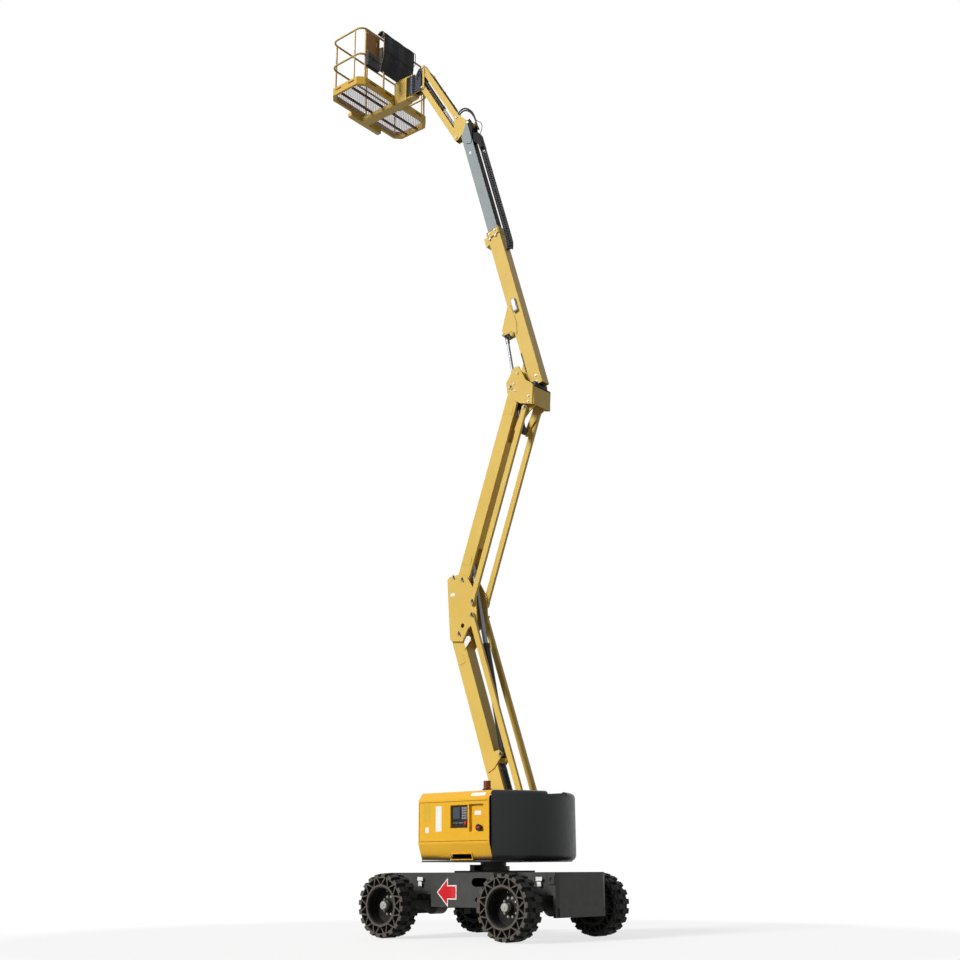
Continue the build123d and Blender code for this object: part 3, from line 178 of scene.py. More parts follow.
class Effects:
    """Shader node groups that several finishes share, each built once."""

    def __init__(self) -> None:
        """Start with no group built."""
        self.trees: dict[str, bpy.types.NodeTree] = {}

    def start(self, name: str, inputs: dict[str, object], outputs: dict[str, str]) -> tuple:
        """Open a new group.

        Args:
            name: The group's name.
            inputs: Default values by input name; a tuple of four makes a colour.
            outputs: Socket types by output name.

        Returns:
            The graph, the sockets that bring the inputs and those that take the results.
        """
        tree = bpy.data.node_groups.new(name, "ShaderNodeTree")
        for label, value in inputs.items():
            kind = "NodeSocketColor" if isinstance(value, tuple) else "NodeSocketFloat"
            tree.interface.new_socket(label, in_out="INPUT", socket_type=kind).default_value = value
        for label, kind in outputs.items():
            tree.interface.new_socket(label, in_out="OUTPUT", socket_type=kind)
        self.trees[name] = tree
        given, result = tree.nodes.new("NodeGroupInput"), tree.nodes.new("NodeGroupOutput")
        return Graph(tree), given.outputs, result.inputs

    def use(self, graph: Graph, name: str, inputs: dict[str, object]) -> bpy.types.Node:
        """Place a group in a material.

        Args:
            graph: The material's graph.
            name: The group, which is also the name of the method that builds it.
            inputs: Values or sockets by the group's input names.

        Returns:
            The group node.
        """
        if name not in self.trees:
            getattr(self, name)()
        made = graph.tree.nodes.new("ShaderNodeGroup")
        made.node_tree = self.trees[name]
        for label, value in inputs.items():
            graph.feed(made.inputs[label], value)
        return made

    def tone_drift(self) -> None:
        """Build the slow change of a paint's tone over a large panel."""
        black = (0.0, 0.0, 0.0, 1.0)
        inputs = {"Color": black, "Shade": black, "Scale": 2.0, "Amount": 0.5}
        graph, given, result = self.start("tone_drift", inputs, {"Color": "NodeSocketColor"})
        cloud = graph.noise(graph.place(), given["Scale"], 5.0)
        share = graph.math("MULTIPLY", graph.span(cloud, 0.35, 0.7), given["Amount"])
        graph.feed(result["Color"], graph.blend(share, given["Color"], given["Shade"]))

    def dust_film(self) -> None:
        """Build dry dust that thins out upwards from the ground, broken up by noise."""
        grey = (0.3, 0.27, 0.22, 1.0)
        inputs = {"Color": grey, "Dust": grey, "Top": 1.0, "Amount": 0.4}
        outputs = {"Color": "NodeSocketColor", "Mask": "NodeSocketFloat"}
        graph, given, result = self.start("dust_film", inputs, outputs)
        place = graph.place()
        height = graph.node("ShaderNodeSeparateXYZ", {0: place}).outputs["Z"]
        fade = graph.span(height, 0.0, given["Top"], 1.0, 0.12)
        patches = graph.span(graph.noise(place, 7.0, 6.0, 0.65), 0.38, 0.72)
        mask = graph.math("MULTIPLY", graph.math("MULTIPLY", fade, patches), given["Amount"])
        graph.feed(result["Color"], graph.blend(mask, given["Color"], given["Dust"]))
        graph.feed(result["Mask"], mask)

    def scuff_marks(self) -> None:
        """Build short scratches and chips, as a mask."""
        inputs = {"Scale": 9.0, "Amount": 0.3}
        graph, given, result = self.start("scuff_marks", inputs, {"Mask": "NodeSocketFloat"})
        place = graph.place()
        stretch = graph.node("ShaderNodeMapping", {"Vector": place, "Scale": (3.0, 3.0, 0.35)})
        scratch = graph.noise(stretch.outputs["Vector"], graph.math("MULTIPLY", given["Scale"], 6.0), 2.0)
        where = graph.span(graph.noise(place, given["Scale"], 4.0), 0.52, 0.66)
        marks = graph.math("MULTIPLY", graph.span(scratch, 0.62, 0.7), where)
        graph.feed(result["Mask"], graph.math("MULTIPLY", marks, given["Amount"]))

    def fine_grain(self) -> None:
        """Build the fine relief of sprayed paint, cast iron or moulded plastic."""
        graph, given, result = self.start("fine_grain", {"Scale": 300.0}, {"Height": "NodeSocketFloat"})
        fine = graph.noise(graph.place(), given["Scale"], 2.0, 0.5)
        coarse = graph.noise(graph.place(), graph.math("MULTIPLY", given["Scale"], 0.17), 2.0, 0.5)
        graph.feed(result["Height"], graph.math("ADD", fine, coarse))

    def woven_threads(self) -> None:
        """Build the plain weave of a coated fabric on the piece's own UV map."""
        graph, given, result = self.start("woven_threads", {"Count": 400.0}, {"Height": "NodeSocketFloat"})
        plane = graph.node("ShaderNodeTexCoord").outputs["UV"]
        parts = graph.node("ShaderNodeSeparateXYZ", {0: plane}).outputs
        waves = [graph.math("SINE", graph.math("MULTIPLY", parts[axis], given["Count"])) for axis in "XY"]
        graph.feed(result["Height"], graph.math("MULTIPLY", *waves))


def principled(material: bpy.types.Material) -> tuple[Graph, bpy.types.Node]:
    """Return a material's graph and its shader node."""
    material.use_nodes = True
    return Graph(material.node_tree), material.node_tree.nodes["Principled BSDF"]


def opaque(color: Color) -> tuple[float, float, float, float]:
    """Return the colour with a full alpha."""
    return (*color, 1.0)


@dataclass(frozen=True)
class Finish:
    """A painted, cast, rubber or moulded surface.

    Attributes are linear colours, shares from 0 to 1, and the relief's depth in metres.
    """

    name: str
    color: Color
    shade: Color
    roughness: float = 0.4
    metallic: float = 0.0
    coat: float = 0.0
    specular: float = 0.22
    sheen: float = 0.0
    drift: float = 0.5
    drift_scale: float = 1.6
    dust: float = 0.0
    dust_color: Color = (0.30, 0.26, 0.20)
    dust_top: float = 1.0
    scuff: float = 0.0
    scuff_color: Color = (0.9, 0.85, 0.75)
    relief: float = 0.0
    relief_scale: float = 300.0
    edge: float = 0.004
    uneven: float = 0.06
    dulling: float = 0.35
    coat_roughness: float = 0.08

    def color_nodes(self, graph: Graph, effects: Effects) -> tuple:
        """Return the socket of the finished colour and that of the roughness."""
        inputs = {"Color": opaque(self.color), "Shade": opaque(self.shade), "Scale": self.drift_scale}
        tone = effects.use(graph, "tone_drift", {**inputs, "Amount": self.drift}).outputs["Color"]
        marks = effects.use(graph, "scuff_marks", {"Amount": self.scuff}).outputs["Mask"]
        marked = graph.blend(marks, tone, opaque(self.scuff_color))
        inputs = {"Color": marked, "Dust": opaque(self.dust_color), "Top": self.dust_top}
        film = effects.use(graph, "dust_film", {**inputs, "Amount": self.dust}).outputs
        dulled = graph.math("MULTIPLY", film["Mask"], self.dulling)
        cloud = graph.noise(graph.place(), 11.0, 4.0)
        smooth, rough = max(self.roughness - self.uneven, 0.03), self.roughness + self.uneven
        return film["Color"], graph.math("ADD", graph.span(cloud, 0.3, 0.7, smooth, rough), dulled)

    def relief_nodes(self, graph: Graph, effects: Effects) -> bpy.types.NodeSocket:
        """Return the socket of the bumped normal."""
        grain = effects.use(graph, "fine_grain", {"Scale": self.relief_scale}).outputs["Height"]
        rounded = graph.node("ShaderNodeBevel", {"Radius": self.edge}, samples=4).outputs["Normal"]
        inputs = {"Height": grain, "Distance": self.relief, "Strength": 1.0, "Normal": rounded}
        return graph.node("ShaderNodeBump", inputs).outputs["Normal"]

    def build(self, effects: Effects) -> bpy.types.Material:
        """Return the node material, made with the shared groups."""
        material = bpy.data.materials.new(self.name)
        graph, shader = principled(material)
        color, roughness = self.color_nodes(graph, effects)
        values = {
            "Base Color": color,
            "Roughness": roughness,
            "Metallic": self.metallic,
            "Specular IOR Level": self.specular,
            "Coat Weight": self.coat,
            "Coat Roughness": self.coat_roughness,
            "Sheen Weight": self.sheen,
        }
        for label, value in values.items():
            graph.feed(shader.inputs[label], value)
        if self.relief:
            graph.feed(shader.inputs["Normal"], self.relief_nodes(graph, effects))
        return material


@dataclass(frozen=True)
class FacedFinish(Finish):
    """A finish whose surface past a plane has a colour of its own."""

    axis: tuple[float, float, float] = (0.0, 1.0, 0.0)
    beyond: float = 0.0
    face_color: Color = (0.02, 0.02, 0.02)

    def color_nodes(self, graph: Graph, effects: Effects) -> tuple:
        """Return the colour, changed past the plane, and the roughness."""
        color, roughness = super().color_nodes(graph, effects)
        inputs = {0: graph.place(), 1: Vector(self.axis)}
        height = graph.node("ShaderNodeVectorMath", inputs, operation="DOT_PRODUCT").outputs["Value"]
        past = graph.math("GREATER_THAN", graph.math("ABSOLUTE", height), self.beyond)
        return graph.blend(past, color, opaque(self.face_color)), roughness


@dataclass(frozen=True)
class CoatedFabric(Finish):
    """A finish whose relief is a plain weave on the piece's UV map, in metres of cloth."""

    threads: float = 900.0
    crease_scale: float = 14.0
    crease_depth: float = 0.012

    def relief_nodes(self, graph: Graph, effects: Effects) -> bpy.types.NodeSocket:
        """Return the socket of the normal, with the weave and soft creases."""
        weave = effects.use(graph, "woven_threads", {"Count": self.threads}).outputs["Height"]
        crease = graph.noise(graph.place(), self.crease_scale, 3.0)
        threads = graph.node("ShaderNodeBump", {"Height": weave, "Distance": self.relief})
        inputs = {"Height": crease, "Distance": self.crease_depth, "Normal": threads.outputs["Normal"]}
        return graph.node("ShaderNodeBump", inputs).outputs["Normal"]


@dataclass(frozen=True)
class RibbedLens(Finish):
    """A translucent moulded lens with fine rings up its wall."""

    clear: float = 0.30
    ring_scale: float = 60.0
    ring_depth: float = 0.002

    def build(self, effects: Effects) -> bpy.types.Material:
        """Return the finish, with light let through it and rings in its relief."""
        material = super().build(effects)
        graph, shader = principled(material)
        graph.feed(shader.inputs["Transmission Weight"], self.clear)
        inputs = {"Vector": graph.place(), "Scale": self.ring_scale, "Distortion": 0.0}
        rings = graph.node("ShaderNodeTexWave", inputs, bands_direction="Z").outputs["Fac"]
        bump = graph.node("ShaderNodeBump", {"Height": rings, "Distance": self.ring_depth})
        graph.feed(shader.inputs["Normal"], bump.outputs["Normal"])
        return material


YELLOW_PAINT = dict(coat=0.10, roughness=0.38, relief=0.00015, relief_scale=420.0, drift=0.55)
FINISHES: tuple[Finish, ...] = (
    FacedFinish("tyre", (0.017, 0.017, 0.018), (0.026, 0.025, 0.024), roughness=0.78, dust=0.3,
                dust_color=(0.10, 0.088, 0.072), dust_top=0.9, relief=0.0006, relief_scale=180.0,
                beyond=1.1465, face_color=(0.088, 0.077, 0.063)),
    Finish("rim_black", (0.008, 0.008, 0.008), (0.014, 0.014, 0.014), roughness=0.5, specular=0.12,
           dust=0.12, dust_top=0.9, relief=0.0003),
    Finish("chassis_grey", (0.040, 0.042, 0.040), (0.058, 0.059, 0.055), roughness=0.46, dust=0.3,
           dust_color=(0.15, 0.135, 0.11), dust_top=0.9, scuff=0.35, scuff_color=(0.25, 0.25, 0.24),
           relief=0.0002),
    Finish("slew_steel", (0.030, 0.029, 0.028), (0.055, 0.050, 0.042), roughness=0.36, metallic=0.5,
           dust=0.3, relief=0.0002),
    Finish("cast_grey", (0.014, 0.016, 0.016), (0.020, 0.022, 0.022), roughness=0.43, drift_scale=1.1,
           coat=0.05, scuff=0.12, scuff_color=(0.2, 0.2, 0.2), relief=0.0005, relief_scale=140.0),
    Finish("hood_yellow", (0.74, 0.40, 0.010), (0.64, 0.32, 0.007), roughness=0.3, coat=0.28, edge=0.012,
           drift_scale=0.9, drift=0.6, scuff=0.25, scuff_color=(0.95, 0.8, 0.5), relief=0.00015,
           relief_scale=260.0),
    Finish("hood_yellow_metal", (0.66, 0.40, 0.045), (0.52, 0.30, 0.035), scuff=0.3,
           scuff_color=(0.4, 0.3, 0.18), **YELLOW_PAINT),
    Finish("arm_yellow", (0.64, 0.44, 0.092), (0.56, 0.36, 0.062), scuff=0.15, drift_scale=1.2,
           **YELLOW_PAINT),
    Finish("rail_yellow", (0.62, 0.40, 0.12), (0.50, 0.31, 0.09), scuff=0.3,
           scuff_color=(0.45, 0.42, 0.36), **YELLOW_PAINT),
    FacedFinish("boom_grey", (0.29, 0.325, 0.335), (0.25, 0.28, 0.29), roughness=0.5, specular=0.06,
                relief=0.00015, axis=(-0.961262, 0.0, 0.275637), beyond=3.8855,
                face_color=(0.016, 0.016, 0.018)),
    Finish("black_metal", (0.010, 0.010, 0.011), (0.016, 0.016, 0.017), roughness=0.42, coat=0.05,
           relief=0.0001),
    Finish("chrome", (0.20, 0.21, 0.225), (0.16, 0.17, 0.18), roughness=0.34, metallic=0.5, drift=0.4,
           scuff=0.2, scuff_color=(0.5, 0.5, 0.5)),
    Finish("black_plastic", (0.015, 0.015, 0.016), (0.022, 0.022, 0.023), roughness=0.55,
           relief=0.0003, relief_scale=500.0),
    Finish("seam_shadow", (0.13, 0.062, 0.008), (0.10, 0.05, 0.006), roughness=0.6, drift_scale=8.0),
    # painted shade: the floor's ribs are yellow paint, given the dark brown of their shade under the mesh
    Finish("rib_brown", (0.10, 0.045, 0.014), (0.07, 0.03, 0.010), roughness=0.5, relief=0.0002),
    Finish("blue_black", (0.014, 0.016, 0.030), (0.022, 0.025, 0.045), roughness=0.5, coat=0.05,
           relief=0.0001),
    Finish("label_pale_yellow", (0.62, 0.40, 0.035), (0.50, 0.30, 0.03), roughness=0.35, drift_scale=9.0),
    CoatedFabric("cover_fabric", (0.010, 0.011, 0.013), (0.018, 0.019, 0.022), roughness=0.52,
                 specular=0.12, relief=0.0002),
    Finish("floor_steel", (0.22, 0.21, 0.26), (0.16, 0.15, 0.19), roughness=0.6, metallic=0.3,
           drift_scale=6.0, relief=0.0001),
    # painted shade: the rear plate is yellow paint, given the brown of its shaded face
    Finish("plate_brown", (0.30, 0.125, 0.014), (0.23, 0.09, 0.010), roughness=0.42, coat=0.03,
           relief=0.0002),
    Finish("engine_alloy", (0.30, 0.30, 0.29), (0.18, 0.18, 0.17), roughness=0.5, metallic=0.6,
           relief=0.0008, relief_scale=90.0),
    RibbedLens("beacon_amber", (0.30, 0.070, 0.010), (0.22, 0.045, 0.008), roughness=0.2),
    Finish("label_white", (0.80, 0.79, 0.76), (0.68, 0.66, 0.62), roughness=0.35, drift_scale=9.0),
    Finish("signal_red", (0.62, 0.020, 0.025), (0.50, 0.015, 0.018), roughness=0.35, coat=0.2,
           drift_scale=4.0, scuff=0.2),
    Finish("bolt_zinc", (0.42, 0.41, 0.38), (0.30, 0.29, 0.26), roughness=0.34, metallic=0.85,
           drift_scale=30.0),
    Finish("hose_rubber", (0.012, 0.012, 0.014), (0.020, 0.020, 0.024), roughness=0.5, relief=0.0002,
           relief_scale=600.0),
    Finish("display_glass", (0.020, 0.030, 0.050), (0.030, 0.045, 0.075), roughness=0.08, coat=0.8,
           drift_scale=18.0),
    Finish("switch_grey", (0.34, 0.34, 0.35), (0.26, 0.26, 0.27), roughness=0.4, drift_scale=20.0),
    Finish("binding_beige", (0.47, 0.33, 0.19), (0.38, 0.26, 0.14), roughness=0.7, sheen=0.2,
           drift_scale=12.0, relief=0.0003, relief_scale=500.0),
)


class Palette:
    """All finishes as materials, and the record's slot of each CAD node."""

    def __init__(self, record: dict) -> None:
        """Build every material.

        Args:
            record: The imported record.
        """
        effects = Effects()
        self.materials = {finish.name: finish.build(effects) for finish in FINISHES}
        self.slots = {part["node"]: part["material_slot"] for part in record["subparts"]}

    def dress(self, nodes: dict[str, bpy.types.Object]) -> None:
        """Give every CAD node the material of its slot."""
        for name, piece in nodes.items():
            piece.data.materials.clear()
            piece.data.materials.append(self.materials[self.slots[name]])


# ---------------------------------------------------------------- shapes
def facing(origin: Vector, normal: Vector, up: Vector = Vector((0, 0, 1))) -> Matrix:
    """Return the frame of a flat thing on a surface.

    Args:
        origin: The point on the surface.
        normal: The surface's outward normal, which becomes local z.
        up: The direction that local y leans to.

    Returns:
        A rigid matrix, with local x across, y up and z out of the surface.
    """
    z = normal.normalized()
    x = up.cross(z).normalized()
    y = z.cross(x)
    frame = Matrix((x, y, z)).transposed().to_4x4()
    frame.translation = origin
    return frame


def smooth_line(points: Sequence[Vector], steps: int = 8) -> list[Vector]:
    """Return a Catmull-Rom line through given points."""
    ends = [points[0] * 2 - points[1], *points, points[-1] * 2 - points[-2]]
    line = []
    for before, start, end, after in zip(ends, ends[1:], ends[2:], ends[3:]):
        for step in range(steps):
            t = step / steps
            square = (2 * before - 5 * start + 4 * end - after) * t**2
            cube = (3 * start - before - 3 * end + after) * t**3
            line.append(0.5 * (2 * start + (end - before) * t + square + cube))
    line.append(points[-1])
    return line


def disc(radius: float, height: float) -> list[tuple[float, float]]:
    """Return the turning profile of a plain round plate."""
    return [(0, 0), (radius, 0), (radius, height), (0, height)]


def circle(centre: Vector, across: Vector, up: Vector, radius: float, count: int) -> list[Vector]:
    """Return points spaced round a circle.

    Args:
        centre: Its centre.
        across: The unit direction of its first point.
        up: The unit direction a quarter turn on.
        radius: Its radius.
        count: How many points.

    Returns:
        The points, in order.
    """
    turns = [2 * math.pi * k / count for k in range(count)]
    return [centre + (across * math.cos(a) + up * math.sin(a)) * radius for a in turns]


class Shape:
    """A mesh under construction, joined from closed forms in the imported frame."""

    def __init__(self, start: bmesh.types.BMesh | None = None) -> None:
        """Start empty, or from a finished bmesh."""
        self.bm = start or bmesh.new()

    @staticmethod
    def of(mesh: bpy.types.Mesh) -> "Shape":
        """Return the shape of a finished mesh."""
        bm = bmesh.new()
        bm.from_mesh(mesh)
        return Shape(bm)

    def take(self, part: bmesh.types.BMesh, frame: Matrix) -> "Shape":
        """Move a part to its frame and join it."""
        part.transform(frame)
        bmesh.ops.recalc_face_normals(part, faces=part.faces)
        mesh = bpy.data.meshes.new("part")
        part.to_mesh(mesh)
        part.free()
        self.bm.from_mesh(mesh)
        bpy.data.meshes.remove(mesh)
        return self

    def prism(self, outline: Profile, depth: float, frame: Matrix,
              bevel: float = 0.0) -> "Shape":
        """Add a plate with an outline in its own plane.

        Args:
            outline: Corners in local x and y.
            depth: Thickness, along local z.
            frame: The plate's place.
            bevel: Width of the rounding of all edges.

        Returns:
            The shape.
        """
        part = bmesh.new()
        base = part.faces.new([part.verts.new((x, y, 0.0)) for x, y in outline])
        made = bmesh.ops.extrude_face_region(part, geom=[base])
        tops = [item for item in made["geom"] if isinstance(item, bmesh.types.BMVert)]
        bmesh.ops.translate(part, verts=tops, vec=(0.0, 0.0, depth))
        if bevel:
            bmesh.ops.bevel(part, geom=list(part.edges), offset=bevel, segments=2, profile=0.6,
                            affect="EDGES", clamp_overlap=True)
        return self.take(part, frame)

    def slab(self, width: float, height: float, depth: float, frame: Matrix,
             bevel: float = 0.0, corner: float = 0.0) -> "Shape":
        """Add a rectangular plate, centred on its frame, with rounded corners if wanted."""
        return self.prism(rounded_rect(width, height, corner), depth, frame, bevel)

    def lathe(self, profile: Profile, frame: Matrix, count: int = 24) -> "Shape":
        """Add a closed turned form.

        Args:
            profile: Radius and height pairs, from the foot's centre to the top's.
            frame: Its place, with the axis along local z.
            count: Faces round the axis.

        Returns:
            The shape.
        """
        part = bmesh.new()
        turn = [2 * math.pi * k / count for k in range(count)]
        rings = []
        for radius, height in profile:
            spots = [(radius * math.cos(a), radius * math.sin(a), height) for a in turn]
            if radius < 1e-6:
                spots = [(0.0, 0.0, height)]
            rings.append([part.verts.new(spot) for spot in spots])
        for low, high in zip(rings, rings[1:]):
            for k in range(count):
                lows = low[k % len(low)], low[(k + 1) % len(low)]
                highs = high[(k + 1) % len(high)], high[k % len(high)]
                part.faces.new(list(dict.fromkeys((*lows, *highs))))
        return self.take(part, frame)

    def tube(self, points: Sequence[Vector], radius: float, count: int = 10) -> "Shape":
        """Add a round tube with closed ends along a line of points."""
        rings = []
        side = LEFTWARD.copy()
        last = len(points) - 1
        for index, point in enumerate(points):
            run = (points[min(index + 1, last)] - points[max(index - 1, 0)]).normalized()
            along = side.dot(run)
            side = (side - run * along).normalized() if abs(along) < 0.99 else run.orthogonal()
            rings.append(circle(point, side, run.cross(side), radius, count))
        return self.loft(rings)

    def pipe(self, points: Sequence[Vector], radius: float, count: int = 8, steps: int = 10) -> "Shape":
        """Add a tube on a smooth line through given points."""
        return self.tube(smooth_line(points, steps), radius, count)

    def loft(self, rings: Sequence[Sequence[Vector]]) -> "Shape":
        """Add a closed form through rings of as many points each, capped at both ends."""
        part = bmesh.new()
        rows = [[part.verts.new(point) for point in ring] for ring in rings]
        for low, high in zip(rows, rows[1:]):
            for k in range(len(low)):
                turn = (k + 1) % len(low)
                part.faces.new((low[k], low[turn], high[turn], high[k]))
        part.faces.new(list(reversed(rows[0])))
        part.faces.new(rows[-1])
        return self.take(part, Matrix.Identity(4))

    def plate(self, corners: Sequence[Vector], thick: Vector) -> "Shape":
        """Add a flat plate between its corners and the same corners moved by its thickness."""
        return self.loft([corners, [point + thick for point in corners]])

    def block(self, low: Vector, high: Vector, bevel: float = 0.0) -> "Shape":
        """Add a box between two corners, with its edges rounded if wanted."""
        size = high - low
        middle = (low + high) / 2
        frame = Matrix.Translation((middle.x, middle.y, low.z))
        return self.prism(rounded_rect(size.x, size.y), size.z, frame, bevel)

    def mesh(self, name: str) -> bpy.types.Mesh:
        """Return the finished mesh, smooth where its faces meet softly."""
        return shaded(self.bm, name)


def rounded_rect(width: float, height: float, corner: float = 0.0) -> list[tuple[float, float]]:
    """Return the outline of a rectangle centred on zero, with rounded corners if wanted."""
    x, y = width / 2 - corner, height / 2 - corner
    if corner <= 0:
        return [(-x, -y), (x, -y), (x, y), (-x, y)]
    outline = []
    for quarter, (sx, sy) in enumerate(((1, 1), (-1, 1), (-1, -1), (1, -1))):
        for step in range(5):
            angle = math.pi / 2 * (quarter + step / 4)
            outline.append((sx * x + corner * math.cos(angle), sy * y + corner * math.sin(angle)))
    return outline


def rounded_corners(corners: Profile, radii: Sequence[float], steps: int = 4) -> list[tuple[float, float]]:
    """Return a polygon with an arc of its own radius at each corner."""
    outline = []
    points = [Vector(corner) for corner in corners]
    for index, (corner, radius) in enumerate(zip(points, radii)):
        back = (points[index - 1] - corner).normalized()
        ahead = (points[(index + 1) % len(points)] - corner).normalized()
        half = back.angle(ahead) / 2
        centre = corner + (back + ahead).normalized() * radius / math.sin(half)
        start, end = (corner + way * radius / math.tan(half) for way in (back, ahead))
        for step in range(steps + 1):
            spoke = (start - centre).slerp(end - centre, step / steps).normalized() * radius
            outline.append(tuple(centre + spoke))
    return outline


def add_object(name: str, data: bpy.types.ID) -> bpy.types.Object:
    """Return a new object that is linked to the scene."""
    made = bpy.data.objects.new(name, data)
    bpy.context.scene.collection.objects.link(made)
    return made


def evaluated(holder: bpy.types.Object) -> bpy.types.Mesh:
    """Return the plain mesh that an object's modifiers make."""
    graph = bpy.context.evaluated_depsgraph_get()
    return bpy.data.meshes.new_from_object(holder.evaluated_get(graph), depsgraph=graph)


def carved(base: bpy.types.Mesh, steps: Sequence[tuple[str, bpy.types.Mesh]]) -> bpy.types.Mesh:
    """Join closed meshes to a closed mesh, or cut them from it, in order.

    Args:
        base: The mesh to start from.
        steps: The Boolean operation's name and the other mesh, for each step.

    Returns:
        The resulting mesh.
    """
    holder = add_object("carved", base)
    others = []
    for operation, mesh in steps:
        others.append(add_object("cutter", mesh))
        modifier = holder.modifiers.new("carve", "BOOLEAN")
        modifier.operation, modifier.object, modifier.solver = operation, others[-1], "EXACT"
    result = evaluated(holder)
    for item in (holder, *others):
        bpy.data.objects.remove(item)
    return result


def sheet_mesh(name: str, grid: list[list[Vector]], thickness: float) -> tuple[bpy.types.Mesh, float]:
    """Return a closed thin sheet through a grid of points, and the area of one side.

    Args:
        name: The mesh's name.
        grid: Columns of points, each as long as the next.
        thickness: The cloth's thickness.

    Returns:
        The mesh, with a UV map in metres of cloth, and the area.
    """
    bm = bmesh.new()
    verts = [[bm.verts.new(point) for point in column] for column in grid]
    maps = bm.loops.layers.uv.new("cloth")
    area = 0.0
    places = {}
    for j, column in enumerate(verts):
        for i, vert in enumerate(column):
            up = places[column[i - 1]][1] + (vert.co - column[i - 1].co).length if i else 0.0
            over = places[verts[j - 1][i]][0] + (vert.co - verts[j - 1][i].co).length if j else 0.0
            places[vert] = (over, up)
    for near, far in zip(verts, verts[1:]):
        for i in range(len(near) - 1):
            face = bm.faces.new((near[i], far[i], far[i + 1], near[i + 1]))
            area += face.calc_area()
            for loop in face.loops:
                loop[maps].uv = places[loop.vert]
    bmesh.ops.recalc_face_normals(bm, faces=bm.faces)
    bmesh.ops.solidify(bm, geom=list(bm.faces), thickness=thickness)
    bmesh.ops.recalc_face_normals(bm, faces=bm.faces)
    return shaded(bm, name), area


def shaded(bm: bmesh.types.BMesh, name: str) -> bpy.types.Mesh:
    """Turn a bmesh into a mesh that is smooth but for its sharp edges, and free it."""
    for face in bm.faces:
        face.smooth = True
    for edge in bm.edges:
        edge.smooth = len(edge.link_faces) == 2 and edge.calc_face_angle(0.0) < CREASE
    mesh = bpy.data.meshes.new(name)
    bm.to_mesh(mesh)
    bm.free()
    return mesh


# ---------------------------------------------------------------- geometry node tools
class NodeMesh:
    """A Geometry Nodes tree that is run once on a seed mesh and baked to a plain mesh."""

    def __init__(self, name: str, inputs: dict[str, tuple[str, object]]) -> None:
        """Open the tree.

        Args:
            name: The tree's name.
            inputs: The socket type and default value of each named input.
        """
        self.tree = bpy.data.node_groups.new(name, "GeometryNodeTree")
        face = self.tree.interface
        face.new_socket("Geometry", in_out="INPUT", socket_type="NodeSocketGeometry")
        self.keys = {}
        for label, (kind, value) in inputs.items():
            socket = face.new_socket(label, in_out="INPUT", socket_type=kind)
            if value is not None:
                socket.default_value = value
            self.keys[label] = socket.identifier
        face.new_socket("Geometry", in_out="OUTPUT", socket_type="NodeSocketGeometry")
        self.graph = Graph(self.tree)
        self.given = self.tree.nodes.new("NodeGroupInput").outputs
        self.result = self.tree.nodes.new("NodeGroupOutput").inputs[0]

    def close(self, geometry: bpy.types.NodeSocket) -> None:
        """End the tree: real geometry in the material that the modifier names."""
        real = self.graph.node("GeometryNodeRealizeInstances", {0: geometry})
        inputs = {"Geometry": real.outputs[0], "Material": self.given["Material"]}
        painted = self.graph.node("GeometryNodeSetMaterial", inputs)
        self.graph.feed(self.result, painted.outputs[0])

    def bake(self, name: str, seed: bpy.types.Mesh, values: dict[str, object]) -> bpy.types.Mesh:
        """Run the tree.

        Args:
            name: The new mesh's name.
            seed: The mesh that the tree starts from.
            values: Values of the named inputs.

        Returns:
            The plain mesh.
        """
        holder = add_object(name, seed)
        modifier = holder.modifiers.new(name, "NODES")
        modifier.node_group = self.tree
        for label, value in values.items():
            modifier[self.keys[label]] = value
        mesh = evaluated(holder)
        mesh.name = name
        holder.modifiers.remove(modifier)
        bpy.data.objects.remove(holder)
        return mesh


def seed_points(places: Iterable[tuple[Vector, Vector, float]]) -> bpy.types.Mesh:
    """Return a mesh of loose points, each with a facing direction and a size."""
    rows = list(places)
    mesh = bpy.data.meshes.new("seed")
    mesh.from_pydata([row[0] for row in rows], [], [])
    mesh.attributes.new("facing", "FLOAT_VECTOR", "POINT")
    mesh.attributes.new("size", "FLOAT", "POINT")
    for index, (_, direction, size) in enumerate(rows):
        mesh.attributes["facing"].data[index].vector = direction
        mesh.attributes["size"].data[index].value = size
    return mesh


